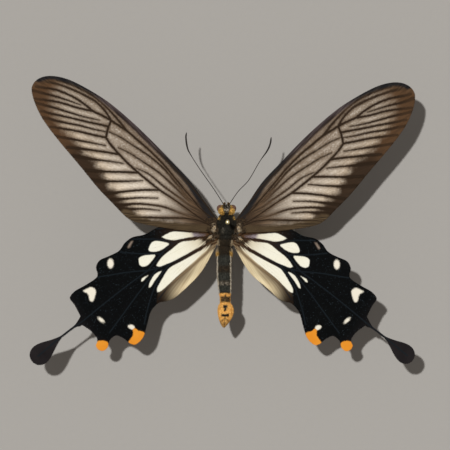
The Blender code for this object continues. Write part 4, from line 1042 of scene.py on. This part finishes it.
def body_marks(points):
    """Amounts of blue-grey, brown, pale, yellow and orange at places on the body: yellow sides of the head
    and a yellow rim to the collar, pale and brown hair at the wing roots, rings of blue-grey and brown along
    the abdomen between its pale sides, and an orange end with black saddle, T and bar. Blue-grey also lies as
    a painted sheen over the middle of the thorax, and pale as a painted highlight beside the pin and a
    painted reflection across the crown. Each patch is a band along the body times its reach sideways and
    upwards, with borders made ragged by a random share."""
    x, y, z = points.T
    side = aside(points)
    random = np.random.default_rng(3).uniform(-0.15, 0.15, len(points))
    ragged = side + random
    level = (z - abdomen_middle(np.minimum(y, ABDOMEN_START))) / 1.6
    top = fade(level, 0.1, 0.3)
    crown_edge = np.interp(y, [2.3, 2.9, 3.5, 3.9, 4.25, 4.5], [0.62, 0.68, 0.85, 0.95, 1.05, 1.3])
    head = band(y + random * 0.5, 2.2, 4.6, 0.12) * fade(ragged - crown_edge, -0.15, 0.2)
    head = head * fade(z, HEAD_Z - 1.6, HEAD_Z - 1.0)
    blotch = np.sin(5.2 * x + 1.6 * np.sin(4.0 * y)) * np.sin(6.4 * y + 0.8)
    head = head * (1 - 0.5 * fade(blotch + random, 0.35, 0.85)) * (1 - 0.45 * fade(y, 3.85, 4.15))
    height = z - THORAX_Z
    collar = band(y, 0.9, 2.4, 0.2) * fade(ragged, 1.5, 1.75) * fade(height, 1.75, 1.45)
    tufts_behind = band(y, -9.3, -7.9, 0.25) * fade(ragged, 1.35, 1.65) * (1 - 0.5 * fade(random, 0, 0.12))
    below = band(y, -6.2, 1.2, 0.3) * fade(height, -0.4, -1.0) * fade(np.sin(y * 2.6), -0.1, 0.3)
    wing_roots = band(y, -3.2, -1.2, 0.3) * fade(ragged, 2.15, 2.4)
    loins = band(y, -8.0, -4.8, 0.4) * fade(ragged, 1.45, 1.75)
    stripe = band(y, -20.0, -9.2, 0.2) * band(level + random * 0.5, -0.7, 0.5, 0.12) * fade(ragged, 1.36, 1.6)
    rings = [band(y, -9.0, -4.4, 0.6), band(y, -14.0, -12.2, 0.5), band(y, -17.6, -16.4, 0.3)]
    rings = np.max(rings, axis=0)
    brown = 0.55 * rings * fade(random, -0.15, 0.1)
    brown = np.maximum(brown, band(y, -8.5, -2.8, 0.4) * fade(ragged, 1.5, 1.85))
    slate_and_sheen = 0.75 * band(y, -19.6, -9.2, 0.2) * (1 - rings)
    # Painted sheen: a bluish-grey highlight over the middle of the thorax, in the slate tone.
    slate_and_sheen = np.maximum(slate_and_sheen, 0.45 * band(y, -4.2, -0.4, 0.8) * fade(side, 1.3, 0.3))
    crown = band(y, 2.9, 4.3, 0.3) * fade(side - crown_edge, 0.1, -0.15)
    brown = np.maximum(brown, crown * fade(random, 0.0, 0.1) * 0.7)
    brown = np.maximum(brown, fade(y, 4.3, 4.5) * 0.7)
    orange = fade(y + random * 0.6, -19.75, -20.0)
    off = np.abs(x - END_X)
    saddle = band(y + random * 0.5, -22.35, -20.85, 0.12) * fade(off + random, 1.4, 1.15)
    saddle = saddle * fade(level, -0.1, 0.15) * (1 - 0.4 * fade(random, 0.02, 0.14))
    stem = band(y, -20.9, -20.3, 0.12) * fade(off + random * 0.5, 0.3, 0.12) * top
    saddle = np.maximum(saddle, stem)
    letter = band(y + random * 0.5, -23.95, -23.2, 0.12) * fade(off + random * 0.6, 0.74, 0.5)
    letter = np.maximum(letter, band(y, -24.85, -23.5, 0.12) * fade(off + random * 0.6, 0.48, 0.26))
    bar = band(y + random * 0.4 - 0.1 * off, -26.5, -25.75, 0.1) * fade(off + random, 1.2, 0.95)
    chevron = band(y + 0.9 * side + random, -27.0, -26.6, 0.12) * fade(side, 1.35, 1.1)
    seam = fade(side + random * 0.4, 0.16, 0.04) * fade(y, -26.3, -26.8)
    tip = fade(y + random, -26.8, -28.8)
    orange = orange * (1 - saddle) * (1 - letter * top) * (1 - bar * top) * (1 - 0.7 * chevron * top)
    orange = orange * (1 - 0.7 * seam) * (1 - 0.5 * tip)
    brown = np.maximum(brown, fade(y, -22.6, -23.0) * (1 - letter * top) * (1 - bar * top))
    pale = np.maximum(stripe, np.maximum(wing_roots, 0.75 * loins))
    pale = np.maximum(pale, crown * fade(random, 0.09, 0.12) * 0.8)
    # Painted reflection: a pale band across the hair of the crown.
    pale = np.maximum(pale, 0.75 * band(y + random, 3.35, 3.7, 0.12) * fade(side, 0.85, 0.45))
    worn = band(y, -17.6, -16.5, 0.3) * band(ragged, 0.3, 1.3, 0.2) * fade(random, -0.02, 0.08)
    pale = np.maximum(pale, 0.55 * worn * top)
    # Painted highlight: a small pale sheen on the thorax beside the pin.
    sheen = fade(np.hypot((x + 1.3) / 0.55, (y + 1.9) / 1.1), 1.1, 0.5) * fade(random, -0.02, 0.08)
    pale = np.maximum(pale, 0.3 * sheen * top)
    return {"slate_and_sheen": slate_and_sheen * top, "brown": brown, "pale": pale,
            "yellow": np.max([head, collar, tufts_behind, below, 0.35 * loins], axis=0), "orange": orange}


def tufts(rings, count, length, width, lift, seed, density=None, along=-1.0, sideways=0.0):
    """Tufts of a coat over a grid of rings: roots spread evenly by area, each a three-cornered blade from
    just under the skin that lies `along` +Y and `sideways` from the middle, and rises by `lift`. The length
    is a number or depends on the root. Gives points, faces, marks and places on the map."""
    random = np.random.default_rng(seed)
    after = np.roll(rings, -1, axis=1)
    across, down = after[:-1] - rings[:-1], rings[1:] - rings[:-1]
    normal = np.cross(across, down)
    area = np.linalg.norm(normal, axis=2)
    normal /= np.maximum(area, 1e-12)[..., None]
    outside = rings[:-1] - rings[:-1].mean(1, keepdims=True)
    normal *= np.sign((normal * outside).sum(2).sum())
    centre = rings[:-1] + (across + down) / 2
    weight = area * (density(centre) if density else 1.0)
    cell = random.choice(weight.size, count, p=(weight / weight.sum()).ravel())
    share = random.uniform(0, 1, (2, count))
    row, column = np.divmod(cell, rings.shape[1])
    root = rings[row, column] + across[row, column] * share[0][:, None]
    root = root + down[row, column] * share[1][:, None]
    up = normal[row, column]
    lie = np.array([0.0, along, 0.0]) + random.normal(0, 0.22, (count, 3))
    lie[:, 0] += sideways * np.sign(root[:, 0] - body_x(root[:, 1]))
    lie -= up * (lie * up).sum(1)[:, None]
    lie /= np.linalg.norm(lie, axis=1)[:, None]
    size = length(root) if callable(length) else length
    size = (size * random.uniform(0.65, 1.15, count))[:, None]
    flat = np.cross(up, lie)
    half = width * random.uniform(0.7, 1.2, count)[:, None]
    foot = root - up * 0.03
    knee = root + size * (lie * 0.5 + up * lift * 0.75)
    tip = root + size * (lie + up * lift * 0.9)
    foot_ring = np.stack([foot + flat * half, foot - flat * half, foot + up * half * 0.8 - lie * half], 1)
    knee_ring = np.stack([knee + flat * half * 0.8, knee - flat * half * 0.8, knee + up * half * 0.6], 1)
    points = np.concatenate([foot_ring, knee_ring, tip[:, None]], 1).reshape(-1, 3)
    shares = np.stack([(row + share[1]) / rings.shape[0], (column + share[0]) / rings.shape[1]], axis=-1)
    marks = {key: values.repeat(BLADE) for key, values in body_marks(root).items()}
    return points, blade_faces(points), marks, map_patches(shares, BLADE_PATCH)


def new_coat(name, found, slot="cuticle_black", **tones):
    """Tufts as a piece of the coat. Tones given here take the place of the body's."""
    points, faces, marks, places = found
    new_piece(name, points, faces, HAIR, (), {**marks, **tones}, places)


def no_tones(points):
    """Marks of a plain dark surface."""
    return {tone: np.zeros(len(points)) for tone in COAT_TONES}


skin = skin_rings()
skin_points, skin_faces = closed_rings(skin, skin[0].mean(0) + [0, 0.15, 0], skin[-1].mean(0) - [0, 0.15, 0])
new_piece("body_skin", skin_points, skin_faces, CUTICLE,
          ["head", "prothorax", "thorax", "metathorax", "abdomen"], body_marks(skin_points))


def coat_length(root):
    """Coat length by place: short on the face, shaggy on the thorax and shortest on the abdomen."""
    return np.interp(root[:, 1], [-27, -22, -10, -8, -6.5, -5, 0, 1.8, 2.3, 3.6, 4.6],
                     [0.4, 0.45, 0.5, 0.8, 0.95, 1.0, 1.0, 0.85, 0.7, 0.45, 0.6])


def coat_density(centre):
    """More roots on the thorax and head than on the abdomen."""
    return np.interp(-centre[..., 1], [-4.6, -2.0, 0, 6.5, 9, 27], [2.6, 1.8, 1.6, 1.4, 0.9, 0.9])


new_coat("body_coat", tufts(skin, 14000, coat_length, 0.05, 0.24, 21, coat_density))


# A coat that keeps to one place still has this density elsewhere, so that the shares never sum to nothing.
LEAST = 1e-9


def flank_density(centre):
    """Only the sides of the waist and abdomen, where a pale fringe of longer hair stands out."""
    return band(centre[..., 1], -20.0, -4.6, 0.2) * fade(aside(centre), 1.45, 1.7) + LEAST


def flank_length(root):
    """Half a millimetre along the sides, longer at the waist and in the yellow tufts behind the wings."""
    return 0.5 + 0.55 * band(root[:, 1], -9.2, -4.8, 0.3)


new_coat("flank_coat", tufts(skin, 3000, flank_length, 0.04, 0.6, 23, flank_density))


def collar_density(centre):
    """Only the collar's sides, where yellow hair stands out in front of the wings."""
    low = centre[..., 2] < THORAX_Z + 1.5
    return band(centre[..., 1], 0.9, 2.3, 0.2) * fade(aside(centre), 1.3, 1.6) * low + LEAST


new_coat("collar_coat", tufts(skin, 900, 0.75, 0.04, 0.5, 27, collar_density, sideways=0.6))


def brow_density(centre):
    """Only the front of the crown, where dark hair leans out over the face."""
    return fade(centre[..., 1], 3.9, 4.3) * fade(centre[..., 2], HEAD_Z - 0.5, HEAD_Z + 0.2) + LEAST


new_coat("brow_coat", tufts(skin, 420, 0.75, 0.05, 0.35, 25, brow_density, along=1.0))


def orbit_density(centre):
    """Only the upper inner rims of the eyes, where yellow scales lean out over them."""
    high = fade(centre[..., 2], HEAD_Z, HEAD_Z + 0.4)
    return band(centre[..., 1], 3.0, 4.4, 0.1) * fade(aside(centre), 1.0, 1.2) * high + LEAST


new_coat("orbit_coat", tufts(skin, 520, 0.5, 0.05, 0.3, 29, orbit_density, along=0.35, sideways=1.0))


# Where hair grows over each wing's base: from, to, the palest place and the seed of its random draws.
HAIR_FIELDS = {"forewing": ((1.9, -2.6), (5.8, 1.2), (3.1, -1.5), 41),
               "hindwing": ((1.7, -5.7), (5.9, -3.0), (2.6, -5.3), 43)}
LOCKS, LOCK_HAIRS = 420, 14
# Places of the few long cream strands over the hindwing's base.
PALE_STRANDS = np.array([(3.7, -3.6), (3.95, -3.75), (4.3, -3.9)])


def root_hair(kind, side):
    """Hair over a wing's base in small locks: each lock has its own heading, length and tone from dark brown
    to cream, and its hairs are strewn closely round its middle. The palest locks lie against the thorax."""
    low, high, heart, seed = HAIR_FIELDS[kind]
    random = np.random.default_rng(seed)
    locks = random.uniform(low, high, (LOCKS, 2))
    locks = locks[random.uniform(0, 1, LOCKS) < np.exp(-(((locks[:, 0] - low[0]) / 1.9) ** 2))]
    if kind == "forewing":
        locks = locks[locks[:, 1] < 0.9 * locks[:, 0] - 1.7]
    else:
        locks = np.vstack([locks[locks[:, 1] > -2.2 - 0.75 * locks[:, 0]], PALE_STRANDS])
    count = len(locks) * LOCK_HAIRS
    palest = np.exp(-((((locks - heart) / (0.7, 1.1)) ** 2).sum(1)))
    tone = fade(palest * 0.75 + random.uniform(0, 0.6, len(locks)), 0.6, 0.95)
    tone = tone * random.uniform(0.6, 1.0, len(locks))
    reach = random.uniform(0.5, 1.15, len(locks))
    if kind == "hindwing":
        tone[-len(PALE_STRANDS):] = 0.8
        reach[-len(PALE_STRANDS):] = 1.7
    flat = locks.repeat(LOCK_HAIRS, axis=0) + random.normal(0, 0.11, (count, 2))
    root = wing_place(flat, kind, side, MEMBRANE / 2)
    heading = random.normal(-0.6, 0.5, len(locks)).repeat(LOCK_HAIRS) + random.normal(0, 0.13, count)
    rise = random.uniform(0.05, 0.3, count)
    lie = np.column_stack([SIDES[side] * np.cos(heading), np.sin(heading), rise])
    lie /= np.linalg.norm(lie, axis=1)[:, None]
    size = (reach.repeat(LOCK_HAIRS) * random.uniform(0.75, 1.1, count))[:, None]
    square = np.cross(lie, (0, 0, 1))
    half = 0.032 * random.uniform(0.7, 1.2, count)[:, None]
    knee = root + lie * size * 0.55 + [0, 0, 0.07]
    points = np.stack([root + square * half - [0, 0, 0.05], root - square * half - [0, 0, 0.05],
                       root + [0, 0, 0.03], knee + square * half, knee - square * half, knee + [0, 0, 0.05],
                       root + lie * size], 1).reshape(-1, 3)
    places = map_patches(np.clip((flat - low) / (np.array(high) - low), 0, 1), BLADE_PATCH)
    each = LOCK_HAIRS * BLADE
    marks = no_tones(points)
    marks["brown"] = random.choice([0.5, 0.8, 1.0], len(locks)).repeat(each)
    marks["yellow"] = (0.6 * tone * random.uniform(0, 1, len(locks))).repeat(each)
    marks["pale"] = tone.repeat(each)
    new_coat(f"{kind}_root_hair_{side}", (points, blade_faces(points), marks, places))


for hair_side in SIDES:
    root_hair("forewing", hair_side)
    root_hair("hindwing", hair_side)

for clasper_side in SIDES:
    valve = clasper_rings(clasper_side)
    valve_points, valve_faces = closed_rings(valve, valve[0].mean(0), valve[-1].mean(0))
    new_piece(f"valve_{clasper_side}", valve_points, valve_faces, CUTICLE,
              [f"clasper_{clasper_side}"], body_marks(valve_points))
    new_coat(f"valve_coat_{clasper_side}", tufts(valve, 1300, 0.38, 0.05, 0.16, 31), "cuticle_orange")

# Eyes, feelers, mouthparts, shoulder plates and legs, in the places of their solids.
ANTENNA_LINES = {
    "left": [(-0.75, 3.9), (-1.25, 5.1), (-3.7, 9.0), (-7.7, 14.7), (-10.5, 19.1), (-11.3, 21.0),
             (-11.65, 23.6), (-11.5, 25.0)],
    "right": [(0.1, 3.9), (0.6, 5.1), (3.0, 8.6), (5.9, 11.7), (8.9, 16.8), (11.0, 19.8), (11.9, 21.8),
              (12.2, 23.7)],
}
PALP_LINE = [(0.5, 3.8, -1.0), (0.6, 4.6, -1.45), (0.64, 5.05, -0.8), (0.52, 5.18, 0.0), (0.45, 5.1, 0.45)]
LEG_LINES = {
    "foreleg": [(0.9, 1.7, 1.2), (1.15, 2.0, 3.0), (1.75, 3.6, 5.4), (1.5, -0.4, 6.6), (1.1, -4.6, 7.8)],
    "midleg": [(1.0, -1.6, 2.2), (1.35, -1.9, 3.9), (3.4, 0.6, 4.9), (2.3, -3.6, 6.7), (1.4, -8.0, 8.2)],
    "hindleg": [(0.9, -5.3, 1.2), (1.15, -5.6, 3.0), (1.45, -9.2, 4.2), (1.2, -13.4, 5.6),
                (0.9, -17.6, 6.4)],
}


def make_antenna(side):
    """A feeler of short ringed joints that thickens into a long club near its end."""
    line = smooth_line([(x, y, 0) for x, y in ANTENNA_LINES[side]], 0.05)
    run = run_lengths(line)
    share = run / run[-1]
    line[:, 2] = HEAD_Z + 0.8 + 1.6 * share
    radii = np.interp(share, [0, 0.04, 0.7, 0.86, 0.97, 1.0], [0.18, 0.11, 0.11, 0.25, 0.23, 0.1])
    radii = radii * (1 - 0.12 * np.cos(run / 0.42 * 2 * np.pi) ** 8)
    socket = closed_rings(*ball_rings(line[4], (0.26, 0.26, 0.22), around=24, rows=12))
    points, faces = joined([tube(line, radii, 14), socket])
    new_piece(f"feeler_{side}", points, faces, CHITIN, [f"antenna_{side}"])


def palp_yellow(points):
    """A palp is yellow below and dark above."""
    return fade(points[:, 2], HEAD_Z + 0.2, HEAD_Z - 0.7)


def make_palp(side):
    """A short jointed palp that curves up in front of the face, pinched at its two joints."""
    line = smooth_line([(BODY_X + SIDES[side] * out, y, HEAD_Z + z) for out, y, z in PALP_LINE], 0.05)
    share = run_lengths(line) / run_lengths(line)[-1]
    first_joint, second_joint = (0.18 * np.exp(-(((share - at) / 0.03) ** 2)) for at in (0.42, 0.78))
    radii = 0.24 * (1 - 0.5 * share**3) * (1 - first_joint - second_joint)
    rings, first, last = tube_rings(line, radii, 20, (1, 0, 0))
    points, faces = closed_rings(rings, first, last)
    marks = {**body_marks(points), "yellow": palp_yellow(points)}
    new_piece(f"lip_palp_{side}", points, faces, CUTICLE, [f"palp_{side}"], marks)
    coat = tufts(rings, 260, 0.36, 0.035, 0.35, 35, along=1.0)
    new_coat(f"palp_coat_{side}", coat, yellow=palp_yellow(coat[0]))


def make_proboscis():
    """The sucking tube: a flat coil under the face whose radius grows with its turn, finely ringed."""
    turn = np.linspace(np.pi, 4 * np.pi, 260)
    radius = 0.6 * turn / (2 * np.pi)
    y, z = 3.25 + radius * np.cos(turn), HEAD_Z - 3.1 + radius * np.sin(turn)
    stem_y, stem_z = [3.25 + 1.2, 3.25 + 0.8], [HEAD_Z - 2.0, HEAD_Z - 0.9]
    line = np.column_stack([np.full(len(y) + 2, BODY_X), np.append(y, stem_y), np.append(z, stem_z)])
    line = smooth_line(line[::6], 0.03)
    run = run_lengths(line)
    radii = np.interp(run / run[-1], [0, 1], [0.12, 0.22]) * (1 + 0.06 * np.sin(run / 0.09 * 2 * np.pi))
    points, faces = tube(line, radii, 16, (1, 0, 0))
    new_piece("sucking_tube", points, faces, CHITIN, ["proboscis"])


def make_shoulder_plate(side):
    """The plate over a forewing's root: a flat oval shell with a short black coat."""
    sign = SIDES[side]
    centre = np.array([BODY_X + sign * 2.15, -0.6, THORAX_Z + 2.05])
    tilt, turn = math.radians(38 * sign), math.radians(-12 * sign)
    rings, first, last = ball_rings(centre, (0.65, 1.2, 0.22), tilt, turn)
    points, faces = closed_rings(rings, first, last)
    nodes = [f"tegula_{side}"]
    new_piece(f"shoulder_plate_{side}", points, faces, CUTICLE, nodes, no_tones(points))
    coat = tufts(rings, 420, 0.38, 0.04, 0.28, 37)
    new_coat(f"shoulder_coat_{side}", coat, **no_tones(coat[0]))


def make_leg(pair, side):
    """A leg of thigh, shin and a foot of five joints, with two spurs at the ankle and a pair of claws."""
    rows = [(BODY_X + SIDES[side] * out, y, THORAX_Z - below) for out, y, below in LEG_LINES[pair]]
    line = np.vstack([np.linspace(a, b, 40, endpoint=False) for a, b in zip(rows, rows[1:])] + [rows[-1:]])
    for _ in range(3):
        line[1:-1] = (line[:-2] + 2 * line[1:-1] + line[2:]) / 4
    step_at = np.arange(len(line)) / 40
    radii = np.interp(step_at, [0, 0.9, 1.05, 1.4, 1.95, 2.1, 2.9, 3.0, 3.1, 4.0],
                      [0.38, 0.3, 0.24, 0.31, 0.2, 0.19, 0.17, 0.2, 0.14, 0.11])
    foot = np.clip(step_at - 3, 0, 1)
    radii = radii * (1 - 0.22 * (foot > 0.02) * (np.abs((foot * 5) % 1 - 0.02) < 0.08))
    parts = [tube(line, radii, 14, (1, 0, 0.01))]
    ankle, toe = np.array(rows[3]), np.array(rows[4])
    ahead = (toe - ankle) / np.linalg.norm(toe - ankle)
    for sign in (-1, 1):
        spur = ankle + np.outer(np.linspace(0, 0.9, 8), ahead + [0.25 * sign, 0, -0.12])
        parts.append(tube(spur, np.linspace(0.05, 0.012, 8), 8, (1, 0, 0.01)))
        bend = np.linspace(0, 1, 10)[:, None]
        spread, fall = np.array([0.18 * sign, 0, 0]), np.array([0, 0, 0.2])
        claw = toe + ahead * 0.3 * bend + spread * bend - fall * bend**2
        parts.append(tube(claw, np.linspace(0.05, 0.012, 10), 8, (0, 0, 1)))
    points, faces = joined(parts)
    new_piece(f"{pair}_chitin_{side}", points, faces, CHITIN, [f"{pair}_{side}"])


for body_side, sign in SIDES.items():
    eye_centre = np.array([BODY_X + sign * 1.76, 3.78, HEAD_Z - 0.3])
    eye_points, eye_faces = closed_rings(*ball_rings(eye_centre, (0.98, 1.08, 1.15)))
    new_piece(f"compound_eye_{body_side}", eye_points, eye_faces, EYE, [f"eye_{body_side}"])
    make_shoulder_plate(body_side)
    make_antenna(body_side)
    make_palp(body_side)
    for leg_pair in LEG_LINES:
        make_leg(leg_pair, body_side)
make_proboscis()


# The pin's profile from its point to its head, as (radius, z).
PIN_PROFILE = [(0.02, 3.0), (0.29, 3.6), (0.29, 39.9), (0.3, 40.0), (0.5, 40.05), (0.6, 40.25), (0.62, 40.5),
               (0.56, 40.75), (0.38, 40.93), (0.15, 41.0)]


def make_pin():
    """The pin: one turned profile from its point in the block up the wire to a rounded head."""
    turn = np.linspace(0, 2 * np.pi, 48, endpoint=False)
    radius, z = np.array(PIN_PROFILE).T[:, :, None]
    x, y = radius * np.cos(turn), radius * np.sin(turn)
    rings = np.stack([x, y, np.broadcast_to(z, x.shape)], -1)
    points, faces = closed_rings(rings, (0, 0, PIN_PROFILE[0][1]), (0, 0, PIN_PROFILE[-1][1]))
    new_piece("insect_pin", points, faces, BRASS, ["stand_pin"], crease=40)


make_pin()
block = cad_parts["stand_block"].data
block.materials.clear()
block.materials.append(painted_wood())

# The stage, in metres. The camera stands far above, so the view is almost without perspective, and its
# field is the photograph's width at the wings' height.
CARD_HALF = 9
CAMERA_ABOVE = 2.0
FIELD_WIDTH, FIELD_MIDDLE, FIELD_HEIGHT = 0.126, (-0.000728, -0.00084), 0.0275
SUN_HEADING, SUN_STRENGTH, SUN_ANGLE = (3.5, -3.6, -27.5), 2.87, math.radians(1.2)
FILL_COLOUR, FILL_STRENGTH = "#FFF7F1", 0.257


def make_stage():
    """A wide plain card under the block, a soft sun from the upper left, even fill light and a far camera
    straight above, which keeps the photograph's framing."""
    scene = bpy.context.scene
    mesh = bpy.data.meshes.new("card")
    corners = [(-1, -1), (1, -1), (1, 1), (-1, 1)]
    mesh.from_pydata([(x * CARD_HALF, y * CARD_HALF, 0) for x, y in corners], [], [(0, 1, 2, 3)])
    mesh.materials.append(backing_card())
    card = placed("card", mesh)
    sun = bpy.data.lights.new("sun", "SUN")
    sun.energy = SUN_STRENGTH
    sun.angle = SUN_ANGLE
    placed("sun", sun).rotation_euler = Vector(SUN_HEADING).to_track_quat("-Z", "Y").to_euler()
    world = bpy.data.worlds.new("fill")
    world.use_nodes = True
    sky = world.node_tree.nodes["Background"]
    sky.inputs["Color"].default_value = colour(FILL_COLOUR)
    sky.inputs["Strength"].default_value = FILL_STRENGTH
    scene.world = world
    lens = bpy.data.cameras.new("camera")
    lens.sensor_width = 36
    lens.lens = lens.sensor_width * CAMERA_ABOVE / FIELD_WIDTH
    lens.clip_start, lens.clip_end = 0.01, 100
    scene.camera = placed("camera", lens)
    scene.camera.location = (*FIELD_MIDDLE, FIELD_HEIGHT + CAMERA_ABOVE)
    scene.view_settings.view_transform = "Standard"
    scene.view_settings.look = "None"


make_stage()
